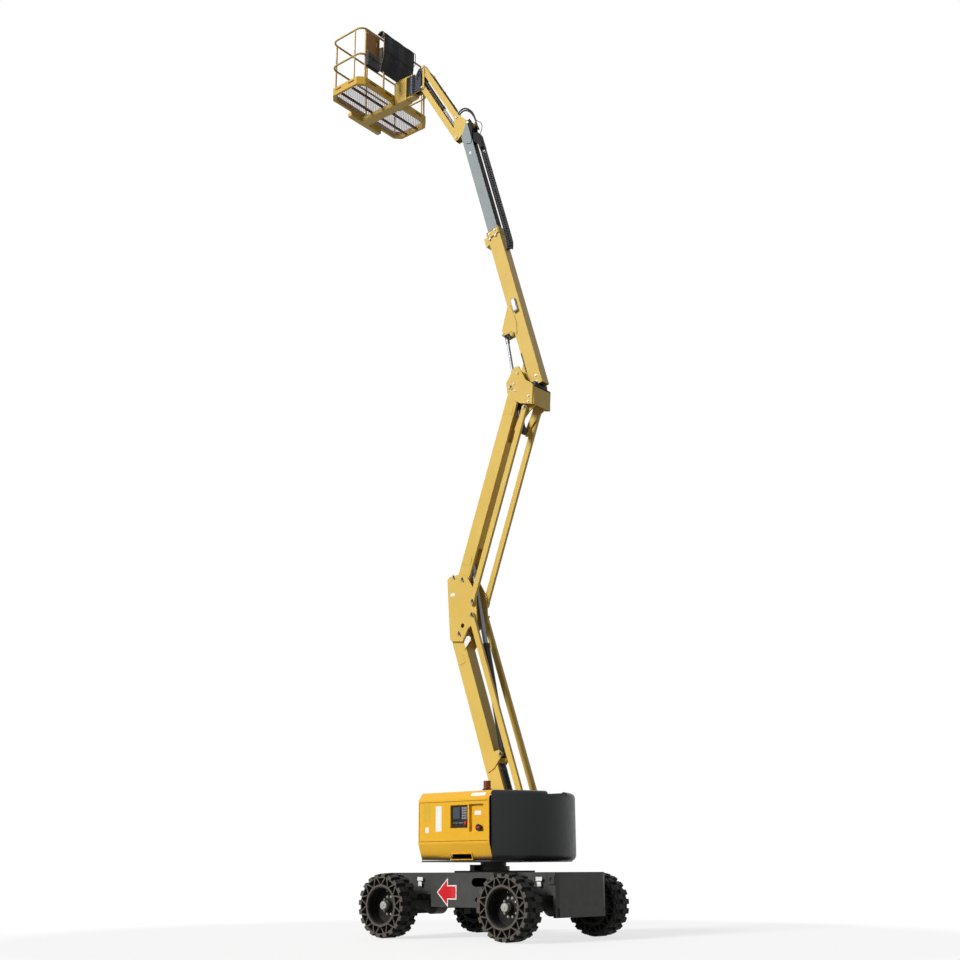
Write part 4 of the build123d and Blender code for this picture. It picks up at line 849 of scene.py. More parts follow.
class Fasteners:
    """Hexagon bolts with washers, set by Geometry Nodes on points that face outwards."""

    head_sides = 6
    washer_sides = 14
    washer_depth = 0.28

    def __init__(self, palette: Palette) -> None:
        """Build the tree for heads of size 1, which is the size across the corners."""
        self.palette = palette
        inputs = {
            "Head": ("NodeSocketFloat", 0.5),
            "Height": ("NodeSocketFloat", 0.36),
            "Washer": ("NodeSocketFloat", 0.68),
            "Material": ("NodeSocketMaterial", None),
        }
        self.make = NodeMesh("hexagon_bolts", inputs)
        graph, given = self.make.graph, self.make.given
        head = self.disc(given["Head"], given["Height"], self.head_sides)
        depth = graph.math("MULTIPLY", given["Height"], self.washer_depth)
        washer = self.disc(given["Washer"], depth, self.washer_sides)
        both = graph.node("GeometryNodeJoinGeometry")
        for part in (head, washer):
            graph.tree.links.new(part, both.inputs[0])
        way = self.attribute("facing", "FLOAT_VECTOR")
        turn = graph.node("FunctionNodeAlignRotationToVector", {"Vector": way}, axis="Z")
        inputs = {"Points": given["Geometry"], "Instance": both.outputs[0], "Rotation": turn.outputs[0]}
        size = self.attribute("size", "FLOAT")
        set_out = graph.node("GeometryNodeInstanceOnPoints", {**inputs, "Scale": size})
        self.make.close(set_out.outputs[0])

    def disc(self, radius, height, sides: int) -> bpy.types.NodeSocket:
        """Return a short cylinder that stands on the surface."""
        graph = self.make.graph
        inputs = {"Vertices": sides, "Radius": radius, "Depth": height}
        body = graph.node("GeometryNodeMeshCylinder", inputs)
        lift = graph.node("ShaderNodeCombineXYZ", {"Z": graph.math("MULTIPLY", height, 0.5)})
        inputs = {"Geometry": body.outputs["Mesh"], "Translation": lift.outputs[0]}
        return graph.node("GeometryNodeTransform", inputs).outputs[0]

    def attribute(self, name: str, kind: str) -> bpy.types.NodeSocket:
        """Return a named attribute of the seed points."""
        made = self.make.graph.node("GeometryNodeInputNamedAttribute", {"Name": name}, data_type=kind)
        return made.outputs["Attribute"]

    def set(self, name: str, body: str, places: Iterable[tuple[Vector, Vector, float]]) -> None:
        """Bake one body's bolts to a piece.

        Args:
            name: The piece's name.
            body: The body that it rides on.
            places: Point, outward direction and size of each bolt.
        """
        material = self.palette.materials["bolt_zinc"]
        mesh = self.make.bake(name, seed_points(places), {"Material": material})
        add_piece(name, mesh, material, body)


def add_piece(name: str, mesh: bpy.types.Mesh, material: bpy.types.Material, body: str) -> bpy.types.Object:
    """Put a finished mesh in the scene as a piece that rides on a body.

    Args:
        name: The piece's name.
        mesh: Its mesh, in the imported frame.
        material: Its finish.
        body: The body that carries it.

    Returns:
        The object.
    """
    mesh.name = name
    mesh.materials.clear()
    mesh.materials.append(material)
    piece = add_object(name, mesh)
    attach(piece, body)
    LOG.info("%s: %d faces on %s", name, len(mesh.polygons), body)
    return piece


# ---------------------------------------------------------------- places on the machine
class Machine:
    """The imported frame: joints, node boxes and members, with the slewing axis as the datum."""

    def __init__(self, frame: dict) -> None:
        """Read the joints.
        """
        self.joints = {joint["name"]: joint for joint in frame["joints"]}
        self.datum = Vector(self.joints["slew"]["pos_m"])
        self.palette = Palette(frame["record"])
        self.palette.dress(frame["nodes"])
        self.fasteners = Fasteners(self.palette)
        boom_run = Vector(self.joints["telescope"]["axis"]).normalized()
        jib_run = (self.pivot("basket_level") - self.pivot("jib_lift")).normalized()
        self.arms = {
            "lower": Member.between(self.pivot("riser_lift"), self.pivot("mid_link_level")),
            "upper": Member.between(self.pivot("upper_arm_lift"), self.pivot("head_link_level")),
            "boom": Member(self.pivot("boom_lift"), boom_run),
            "jib_lower": Member(self.pivot("jib_lower_turn"), jib_run),
            "jib_upper": Member(self.pivot("jib_lift"), jib_run),
        }

    def pivot(self, joint: str) -> Vector:
        """Return a joint's point."""
        return Vector(self.joints[joint]["pos_m"])

    def at(self, x: float, y: float, z: float) -> Vector:
        """Return a point given from the slewing axis and the ground."""
        return Vector((self.datum.x + x, y, z))

    def box(self, node: str) -> tuple[Vector, Vector]:
        """Return a node's lowest and highest corner."""
        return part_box(node)

    def cord(self, name: str, points: Sequence[Vector], radius: float, body: str,
             far: str) -> bpy.types.Object:
        """Args:
            name: The piece's name.
            points: Points that the line runs through.
            radius: The hose's radius.
            body: The body of its last point.
            far: The body of its first point.

        Returns:
            The hose.
        """
        line = smooth_line(points, 10)
        length = sum((ahead - back).length for back, ahead in zip(line, line[1:]))
        mesh = Shape().tube(line, radius, 14).mesh(name)
        hose = add_object(name, mesh)
        mesh.materials.append(self.palette.materials["hose_rubber"])
        if far == body:
            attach(hose, body)
        else:
            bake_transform(hose)
        LOG.info("%s: %.2f m from %s to %s", name, length, far, body)
        return hose

    def piece(self, name: str, shape: Shape | bpy.types.Mesh, finish: str, body: str,
              slot: str | None = None) -> bpy.types.Object:
        """Add a shape as a piece in a named finish."""
        mesh = shape.mesh(name) if isinstance(shape, Shape) else shape
        if not slot and finish in self.palette.slots.values():
            slot = finish
        return add_piece(name, mesh, self.palette.materials[finish], body)


@dataclass(frozen=True)
class Member:
    """A straight arm in the side view, from its foot along its direction."""

    foot: Vector
    run: Vector

    def at(self, along: float, across: float = 0.0, y: float = 0.0) -> Vector:
        """Return a point along the arm and across it, positive below a lowered arm."""
        point = self.foot + self.run * along + Vector((self.run.z, 0.0, -self.run.x)) * across
        return Vector((point.x, y, point.z))

    @property
    def back(self) -> Vector:
        """Return the direction out of the arm's rear or upper face."""
        return (self.at(0, -1.0) - self.at(0, 0)).normalized()

    @staticmethod
    def between(foot: Vector, head: Vector) -> "Member":
        """Return the member from one pivot to another."""
        return Member(foot, (head - foot).normalized())


# ---------------------------------------------------------------- stage
@dataclass(frozen=True)
class Lamp:
    """A distant lamp: the direction towards it, its power on a facing surface and its width in degrees."""

    name: str
    toward: tuple[float, float, float]
    strength: float
    width: float

    def build(self) -> None:
        """Add the lamp to the scene."""
        data = bpy.data.lights.new(self.name, "SUN")
        data.energy = self.strength
        data.angle = math.radians(self.width)
        lamp = add_object(self.name, data)
        lamp.matrix_world = Vector(self.toward).to_track_quat("Z", "Y").to_matrix().to_4x4()


@dataclass(frozen=True)
class Studio:
    """Camera, floor, background and plain soft lamps."""

    eye: tuple[float, float, float] = (-11.472, 14.292, 0.847)
    heading: float = -50.734
    pitch: float = 17.221
    roll: float = -0.238
    lens: float = 47.45
    sensor: float = 36.0
    clip_end: float = 400.0
    sky: float = 0.17
    floor_radius: float = 160.0
    floor_depth: float = 0.015
    floor_drop: float = 0.02
    floor_grey: float = 0.30
    floor_seen_grey: float = 0.86
    floor_glow: float = 0.72
    fade: tuple[float, float] = (3.2, 7.5)
    lamps: tuple[Lamp, ...] = (
        Lamp("key", (0.25, 0.85, 0.50), 3.5, 16.0),
        Lamp("fill", (-0.8, 0.35, 0.35), 0.10, 60.0),
        Lamp("back", (0.5, -0.8, 0.6), 0.25, 40.0),
    )

    def camera(self, machine: Machine) -> None:
        """Set the camera from its heading, pitch and roll, in degrees."""
        heading, pitch, roll = (math.radians(v) for v in (self.heading, self.pitch, self.roll))
        flat = math.cos(pitch)
        look = Vector((math.cos(heading) * flat, math.sin(heading) * flat, math.sin(pitch)))
        right = Vector((math.sin(heading), -math.cos(heading), 0.0))
        up = right.cross(look)
        level, lean = math.cos(roll), math.sin(roll)
        axes = (right * level + up * lean, up * level - right * lean, -look)
        data = bpy.data.cameras.new("camera")
        data.lens = self.lens
        data.sensor_width = self.sensor
        data.clip_end = self.clip_end
        camera = add_object("camera", data)
        place = Matrix(axes).transposed().to_4x4()
        place.translation = machine.at(*self.eye)
        camera.matrix_world = place
        bpy.context.scene.camera = camera

    def world(self) -> None:
        """Make a background that looks white and lights softly."""
        world = bpy.data.worlds.new("studio")
        world.use_nodes = True
        bpy.context.scene.world = world
        graph = Graph(world.node_tree)
        soft = world.node_tree.nodes["Background"]
        graph.feed(soft.inputs["Color"], WHITE)
        graph.feed(soft.inputs["Strength"], self.sky)
        white = graph.node("ShaderNodeBackground", {"Color": WHITE, "Strength": 1.0}).outputs[0]
        mixed = graph.node("ShaderNodeMixShader", {0: self.seen(graph), 1: soft.outputs[0], 2: white})
        graph.feed(world.node_tree.nodes["World Output"].inputs["Surface"], mixed.outputs[0])

    def seen(self, graph: Graph) -> bpy.types.NodeSocket:
        """Return 1 on rays that show the background itself, in glass and metal too."""
        path = graph.node("ShaderNodeLightPath").outputs
        first = graph.math("MAXIMUM", path["Is Camera Ray"], path["Is Glossy Ray"])
        return graph.math("MAXIMUM", first, path["Is Transmission Ray"])

    def floor(self, machine: Machine) -> None:
        """Lay a pale floor that keeps the shadow near the wheels and turns white further out."""
        ground = Matrix.Translation(machine.at(0.0, 0.0, -self.floor_drop))
        shape = Shape().lathe(disc(self.floor_radius, self.floor_depth), ground, 96)
        floor = add_object("floor", shape.mesh("floor"))
        material = bpy.data.materials.new("pale_floor")
        graph, shader = principled(material)
        grey, seen_grey = opaque((self.floor_grey,) * 3), opaque((self.floor_seen_grey,) * 3)
        graph.feed(shader.inputs["Base Color"], graph.blend(self.seen(graph), grey, seen_grey))
        graph.feed(shader.inputs["Roughness"], 0.9)
        inputs = {0: graph.place(), 1: machine.at(0, 0, 0)}
        offset = graph.node("ShaderNodeVectorMath", inputs, operation="DISTANCE")
        away = graph.span(offset.outputs["Value"], *self.fade)
        share = graph.math("MULTIPLY", graph.math("MAXIMUM", away, self.floor_glow), self.seen(graph))
        glow = graph.node("ShaderNodeEmission", {"Color": WHITE, "Strength": 1.0}).outputs[0]
        mixed = graph.node("ShaderNodeMixShader", {0: share, 1: shader.outputs[0], 2: glow})
        graph.feed(material.node_tree.nodes["Material Output"].inputs["Surface"], mixed.outputs[0])
        floor.data.materials.append(material)

    def build(self, machine: Machine) -> None:
        """Set up the whole studio."""
        self.camera(machine)
        self.world()
        self.floor(machine)
        for lamp in self.lamps:
            lamp.build()
        bpy.context.scene.view_settings.view_transform = "Standard"
        LOG.info("studio ready")


# ---------------------------------------------------------------- running gear
@dataclass
class Wheels:
    """Hub and wheel nuts on the four wheels, and the tyres' valve stems."""

    nut_ring: float = 0.115
    nut_count: int = 10
    nut: float = 0.030
    cap_ring: float = 0.040
    cap_screws: int = 6
    cap_screw: float = 0.013
    cap_depth: float = 0.070
    face_in: float = 0.020
    hub_out: float = 0.042
    valve_ring: float = 0.185
    cap: Profile = ((0, 0), (0.060, 0), (0.060, 0.046), (0.056, 0.052), (0.056, 0.064), (0.050, 0.070),
                    (0.020, 0.072), (0.018, 0.078), (0, 0.078))
    valve: Profile = ((0, 0), (0.009, 0), (0.009, 0.012), (0.005, 0.016), (0.005, 0.044), (0.007, 0.046),
                      (0.007, 0.056), (0, 0.058))

    def build(self, machine: Machine) -> None:
        """Dress each wheel."""
        for end in ("front", "rear"):
            for side in Side:
                self.wheel(machine, f"{end}_{side.label}", side.out)

    def wheel(self, machine: Machine, corner: str, out: Vector) -> None:
        """Add one wheel's nuts, hub cap and valve."""
        centre, body = machine.pivot(f"roll_{corner}"), f"wheel_{corner}"
        face = centre - out * self.face_in
        nose = centre + out * self.hub_out
        nuts = circle(face, AHEAD, OVER, self.nut_ring, self.nut_count)
        screws = circle(nose + out * self.cap_depth, AHEAD, OVER, self.cap_ring, self.cap_screws)
        places = [(spot, out, self.nut) for spot in nuts] + [(spot, out, self.cap_screw) for spot in screws]
        machine.fasteners.set(f"wheel_nuts_{corner}", body, places)
        cap = Shape().lathe(self.cap, facing(nose, out), 32)
        machine.piece(f"hub_cap_{corner}", cap, "bolt_zinc", body, "rim_black")
        valve = Shape().lathe(self.valve, facing(face + OVER * self.valve_ring, out), 12)
        machine.piece(f"valve_{corner}", valve, "bolt_zinc", body, "rim_black")


@dataclass
class ChassisTrim:
    """Direction arrows and blank plates on the chassis."""

    arrow_tail: float = 0.073
    arrow_head: float = 0.230
    arrow_tip: float = 0.413
    arrow_z: float = 0.590
    tail_half: float = 0.078
    head_half: float = 0.157
    edge: float = 0.014
    fold: float = 0.150
    slope: float = 0.1008
    plate_x: tuple[float, float] = (0.86, -1.20)
    plate_z: float = 0.762
    plate_rows: tuple[tuple[float, float, float], ...] = ((0.0, 0.10, 0.048), (-0.064, 0.062, 0.058))

    def halves(self, grow: float) -> tuple[list, list]:
        """Return the arrow's outline up to the flank's fold and beyond it, grown by a margin."""
        slope = self.head_half / (self.arrow_tip - self.arrow_head)
        nose = grow * math.hypot(1.0, slope) / slope
        heel = self.head_half + grow * (math.hypot(1.0, slope) + slope)
        tail, head = self.arrow_tail - grow - self.fold, self.arrow_head - grow - self.fold
        half = self.tail_half + grow
        stem = [(tail, -half), (0.0, -half), (0.0, half), (tail, half)]
        point = [(0.0, -half), (head, -half), (head, -heel), (self.arrow_tip + nose - self.fold, 0.0),
                 (head, heel), (head, half), (0.0, half)]
        return stem, point

    def arrow(self, machine: Machine, side: Side, grow: float, lift: float, depth: float) -> Shape:
        """Return the arrow as two thin plates, bent with the flank.

        Args:
            machine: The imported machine.
            side: The flank.
            grow: Margin round the outline.
            lift: Its height over the flank.
            depth: Its thickness.

        Returns:
            Both plates as one shape.
        """
        skin = side.face(machine.box("chassis_frame"))
        shape = Shape()
        for outline, lean in zip(self.halves(grow), (0.0, self.slope)):
            out = Vector((lean, side.value, 0.0)).normalized()
            frame = facing(machine.at(self.fold, skin, self.arrow_z) + out * lift, out)
            shape.prism([(-side.value * x, y) for x, y in outline], depth, frame)
        return shape

    def build(self, machine: Machine) -> None:
        """Add the arrows and plates on both flanks."""
        for side in Side:
            edge = self.arrow(machine, side, self.edge, 0.0004, 0.0010)
            machine.piece(f"arrow_edge_{side.label}", edge, "label_white", "chassis")
            arrow = self.arrow(machine, side, 0.0, 0.0014, 0.0008)
            machine.piece(f"arrow_{side.label}", arrow, "signal_red", "chassis")
            self.plates(machine, side)

    def plates(self, machine: Machine, side: Side) -> None:
        """Add the small blank plates near a flank's lashing eyes."""
        shape = Shape()
        eye = machine.box(f"lashing_eye_front_{side.label}")
        skin = (eye[0].y if side is Side.LEFT else eye[1].y) - side.value * 0.0003
        for x in self.plate_x:
            for shift, width, height in self.plate_rows:
                frame = facing(machine.at(x, skin, self.plate_z + shift), side.out)
                shape.slab(width, height, LABEL, frame, corner=0.005)
        machine.piece(f"blank_plates_{side.label}", shape, "label_white", "chassis")


# ---------------------------------------------------------------- turret
@dataclass
class Shells:
    """The hoods and the tail weight with their rounded edges, in place of the plainer solids."""

    inner: float = 0.238
    outer: float = 0.950
    foot: float = 0.988
    top: float = 1.890
    crease: tuple[float, float] = (1.212, 1.788)
    foot_in: float = 0.082
    head_in: float = 0.070
    ends: tuple[float, float] = (-0.695, 0.570)
    wall: float = 0.006
    edge_round: float = 0.034
    nose_round: float = 0.040
    panel: tuple[float, float, float, float] = (-0.326, -0.028, 1.410, 1.706)
    niche: tuple[float, float, float, float] = (-0.600, -0.353, 1.360, 1.712)
    pocket: tuple[float, float, float, float] = (-0.351, -0.005, 1.018, 1.078)
    hinge: tuple[float, float, float] = (0.2285, 1.883, 0.009)
    hinge_x: tuple[float, float] = (-0.4425, 0.3175)
    hinge_half: float = 0.0495
    tail_r: float = 1.150
    tail_front: float = -0.701
    tail_slot: float = -0.985
    tail_low: float = 0.985
    foot_round: float = 0.090
    rim_round: float = 0.060
    slot_half: float = 0.2225
    channel_x: float = -0.945
    channel_half: float = 0.868
    far: float = 1.3
    past: float = 0.02

    def outline(self, inset: float, opened: bool) -> list[tuple[float, float]]:
        """Return the hood's outline from behind as y and z.

        Args:
            inset: How far its skin is drawn in.
            opened: Whether it reaches past the open foot and inner side.
        """
        past = -self.past if opened else inset
        low, high = self.crease
        corners = [
            (self.inner + past, self.foot + past),
            (self.outer - self.foot_in - inset, self.foot + past),
            (self.outer - inset, low),
            (self.outer - inset, high),
            (self.outer - self.head_in - inset * 0.6, self.top - inset),
            (self.inner + past, self.top - inset),
        ]
        radius = self.edge_round - inset * 0.5
        return rounded_corners(corners, [0.002, 0.03, radius, radius, radius, 0.002])

    def body(self, sign: int, machine: Machine, opened: bool) -> bpy.types.Mesh:
        """Return the hood's closed body, or the smaller one that hollows it."""
        rear, front = self.ends
        base = self.wall if opened else 0.0
        places = [(rear - (self.past if opened else 0.0), base)]
        for step in range(5):
            turn = math.pi / 2 * step / 4
            drawn = self.nose_round * (1 - math.cos(turn)) * 0.98
            places.append((front - base - self.nose_round * (1 - math.sin(turn)), base + drawn))
        rings = []
        for x, inset in places:
            rings.append([machine.at(x, sign * y, z) for y, z in self.outline(inset, opened)])
        return Shape().loft(rings).mesh("hood_body")

    def box(self, machine: Machine, sign: int, spans: Sequence[tuple[float, float]]) -> bpy.types.Mesh:
        """Return a plain box from its x, y and z spans, on the chosen side."""
        (x0, x1), span, (z0, z1) = spans
        y0, y1 = sorted(sign * y for y in span)
        return Shape().block(machine.at(x0, y0, z0), machine.at(x1, y1, z1)).mesh("box")

    def hood(self, machine: Machine, side: Side) -> None:
        """Make one hood: a thin shell, with the control recesses on the left one."""
        sign, wall = side.value, self.wall
        steps = [("DIFFERENCE", self.body(sign, machine, True))]
        if side is Side.LEFT:
            for (x0, x1, z0, z1), depth in ((self.panel, 0.060), (self.niche, 0.042)):
                face = self.outer - depth
                deep = (face - wall, self.outer - wall / 2)
                back = ((x0 - wall, x1 + wall), deep, (z0 - wall, z1 + wall))
                hole = ((x0, x1), (face, self.outer + 0.05), (z0, z1))
                steps.append(("UNION", self.box(machine, sign, back)))
                steps.append(("DIFFERENCE", self.box(machine, sign, hole)))
            x0, x1, z0, z1 = self.pocket
            hole = ((x0, x1), (self.outer - 0.12, self.outer + self.past), (z0, z1))
            steps.append(("DIFFERENCE", self.box(machine, sign, hole)))
        shape = Shape.of(carved(self.body(sign, machine, False), steps))
        y, z, radius = self.hinge
        for x in self.hinge_x:
            start = facing(machine.at(x - self.hinge_half, sign * y, z), AHEAD)
            shape.lathe(disc(radius, 2 * self.hinge_half), start, 14)
        body = f"hood_{side.label}"
        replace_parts(machine.piece(f"rounded_{body}", shape, "hood_yellow", body), body)

    def tail(self, machine: Machine) -> None:
        """Turn the tail weight and cut its front, slot and channel."""
        r, low, high, base, rim = self.tail_r, self.tail_low, self.top, self.foot_round, self.rim_round
        turns = [math.pi / 2 * step / 6 for step in range(7)]
        profile = [(0.0, low), (r - base, low)]
        profile += [(r - base + base * math.sin(a), low + base - base * math.cos(a)) for a in turns[1:]]
        profile += [(r - rim + rim * math.cos(a), high - rim + rim * math.sin(a)) for a in turns]
        profile += [(r - rim - 0.02, high), (r - rim - 0.035, high - 0.012), (0.0, high - 0.012)]
        body = Shape().lathe(profile, Matrix.Translation(machine.at(0, 0, 0)), 144).mesh("tail")
        front, far, slot, channel = self.tail_front, self.far, self.slot_half, self.channel_half
        cuts = (
            ((front, far), (-far, far), (0.9, 2.0)),
            ((self.tail_slot, front + 0.1), (-slot, slot), (0.9, 2.0)),
            ((self.channel_x, front + 0.1), (-channel, channel), (low - 0.1, low + 0.02)),
            ((-far, self.tail_slot + 0.1), (-slot, slot), (high - 0.060, 2.0)),
        )
        mesh = carved(body, [("DIFFERENCE", self.box(machine, 1, cut)) for cut in cuts])
        piece = machine.piece("rounded_tail_weight", Shape.of(mesh), "cast_grey", "turret")
        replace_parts(piece, "counterweight")

    def build(self, machine: Machine) -> None:
        """Make both hoods and the tail weight."""
        for side in Side:
            self.hood(machine, side)
        self.tail(machine)


@dataclass
class Turret:
    """Painted seam shade, plates, ground controls, knob and beacon of the turret."""

    ring_bolts: int = 30
    ring_radius: float = 0.205
    ring_bolt: float = 0.02
    outer: float = 0.950
    groove: tuple[float, float] = (0.007, 0.0014)
    groove_z: tuple[float, float] = (1.756, 1.244)
    plates: tuple[tuple[float, float, float, float], ...] = (
        (0.182, 1.538, 0.105, 0.330),
        (0.388, 1.394, 0.062, 0.074),
        (-0.470, 1.600, 0.110, 0.055),
    )
    niche_front: float = -0.35
    niche_depth: float = 0.042
    pocket: tuple[float, float, float] = (0.186, 0.041, 0.014)
    screw: Profile = ((0, 0), (0.010, 0), (0.010, 0.006), (0.0045, 0.009), (0.005, 0.026), (0, 0.028))
    button: Profile = ((0, 0), (0.013, 0), (0.013, 0.012), (0.022, 0.014), (0.023, 0.020), (0.017, 0.026),
                       (0, 0.028))
    finger: Profile = ((0, 0), (0.010, 0), (0.010, 0.016), (0.007, 0.020), (0, 0.020))
    beacon_ring: Profile = ((0.045, 0.002), (0.066, 0.002), (0.066, 0.036), (0.058, 0.046), (0.0505, 0.046))

    def build(self, machine: Machine) -> None:
        """Dress the turret and its two hoods."""
        self.slew_bolts(machine)
        for side in Side:
            self.seams(machine, side)
        self.labels(machine)
        self.pocket_rim(machine)
        self.controls(machine)
        self.knob(machine)
        self.beacon(machine)

    def slew_bolts(self, machine: Machine) -> None:
        """Set the bolt circle of the slewing bearing."""
        height = machine.box("slew_ring")[0].z + 0.018
        places = []
        for out in circle(Vector(), AHEAD, LEFTWARD, 1.0, self.ring_bolts):
            places.append((machine.at(0, 0, height) + out * self.ring_radius, out, self.ring_bolt))
        machine.fasteners.set("slew_bolts", "chassis", places)

    def seams(self, machine: Machine, side: Side) -> None:
        """Lay dark strips of painted shade where the pressed grooves run along a hood's two creases and
        down its nose.
        """
        width, depth = self.groove
        shape = Shape()
        y = side.value * (self.outer - 0.0006)
        for z in self.groove_z:
            shape.slab(1.220, width, depth, facing(machine.at(-0.075, y, z), side.out))
        shape.slab(width, 0.505, depth, facing(machine.at(0.532, y, 1.500), side.out))
        name, body = f"hood_grooves_{side.label}", f"hood_{side.label}"
        machine.piece(name, shape, "seam_shadow", body, "hood_yellow")

    def labels(self, machine: Machine) -> None:
        """Stick blank plates on the left hood's flank and upper slope."""
        shape = Shape()
        for x, z, width, height in self.plates:
            y = self.outer if x > self.niche_front else self.outer - self.niche_depth
            shape.slab(width, height, LABEL, facing(machine.at(x, y, z), LEFTWARD), corner=0.006)
        slope = Vector((0.0, 0.102, 0.070)).normalized()
        middle = machine.at(-0.492, 0.9175, 1.8375)
        shape.slab(0.250, 0.052, LABEL, facing(middle + slope * 0.0004, slope), corner=0.004)
        machine.piece("hood_plates", shape, "label_white", "hood_left")
        frame = facing(machine.at(0.392, self.outer, 1.622), LEFTWARD)
        faint = Shape().slab(0.130, 0.225, 0.0010, frame, corner=0.008)
        machine.piece("hood_plate_faint", faint, "label_pale_yellow", "hood_left")

    def pocket_rim(self, machine: Machine) -> None:
        """Add the raised border round the hand pocket in the hood's foot."""
        slope = Vector((0.0, 0.224, -0.082)).normalized()
        along = Vector((0.0, 0.082, 0.224)).normalized()
        middle = machine.at(-0.178, self.outer - 0.0595, 1.048) + slope * 0.0005
        frame = facing(middle, slope, along)
        half, rise, width = self.pocket
        bars = ((0.0, rise, 2 * half, width), (0.0, -rise, 2 * half, width),
                (-half, 0.0, width, 0.096), (half, 0.0, width, 0.096))
        shape = Shape()
        for x, y, wide, high in bars:
            shape.slab(wide, high, 0.012, frame @ Matrix.Translation((x, y, 0.0)), bevel=0.004)
        machine.piece("pocket_rim", shape, "hood_yellow", "hood_left")

    def controls(self, machine: Machine) -> None:
        """Build the ground control panel's display, switches and stop button."""
        low, high = machine.box("ground_panel")
        centre = (low + high) / 2
        face = low.y + 0.024

        def spot(x: float, z: float, lift: float = 0.011) -> Matrix:
            """Return a frame on the panel, from its centre."""
            return facing(Vector((centre.x + x, face + lift, centre.z + z)), LEFTWARD)

        bezel = Shape()
        bezel.slab(0.268, 0.266, 0.011, spot(0.0, 0.0, 0.0), bevel=0.003, corner=0.014)
        bezel.slab(0.140, 0.172, 0.012, spot(0.052, 0.040), bevel=0.003, corner=0.008)
        machine.piece("panel_bezel", bezel, "black_plastic", "hood_left")
        screen = Shape().slab(0.112, 0.140, 0.003, spot(0.052, 0.044, 0.0228), corner=0.004)
        machine.piece("panel_screen", screen, "display_glass", "hood_left")
        keys = Shape()
        for row in range(5):
            for column in range(3):
                frame = spot(-0.046 - column * 0.030, 0.110 - row * 0.033)
                keys.slab(0.021, 0.023, 0.007, frame, bevel=0.0016, corner=0.003)
        for column in range(5):
            keys.lathe(self.screw, spot(0.096 - column * 0.034, -0.085), 12)
        machine.piece("panel_keys", keys, "switch_grey", "hood_left")
        stop = Shape().lathe(self.button, spot(-0.104, -0.086), 24)
        machine.piece("panel_stop", stop, "signal_red", "hood_left")

    def knob(self, machine: Machine) -> None:
        """Add the isolator's black grip with its red bar."""
        low, high = machine.box("isolator_knob")
        centre = Vector(((low.x + high.x) / 2, high.y - 0.001, (low.z + high.z) / 2))
        frame = facing(centre, LEFTWARD)
        grip = Shape()
        for k in range(8):
            turned = frame @ Matrix.Rotation(math.pi / 4 * k, 4, "Z")
            grip.lathe(self.finger, turned @ Matrix.Translation((0.036, 0.0, -0.018)), 10)
        machine.piece("isolator_grip", grip, "black_plastic", "hood_left")
        bar = Shape().slab(0.062, 0.018, 0.008, frame, bevel=0.002, corner=0.006)
        machine.piece("isolator_bar", bar, "signal_red", "hood_left")

    def beacon(self, machine: Machine) -> None:
        """Add the beacon's dark foot ring."""
        low, high = machine.box("beacon")
        centre = Vector(((low.x + high.x) / 2, (low.y + high.y) / 2, low.z))
        foot = Shape().lathe(self.beacon_ring, Matrix.Translation(centre), 28)
        machine.piece("beacon_foot", foot, "hose_rubber", "hood_left", "black_plastic")


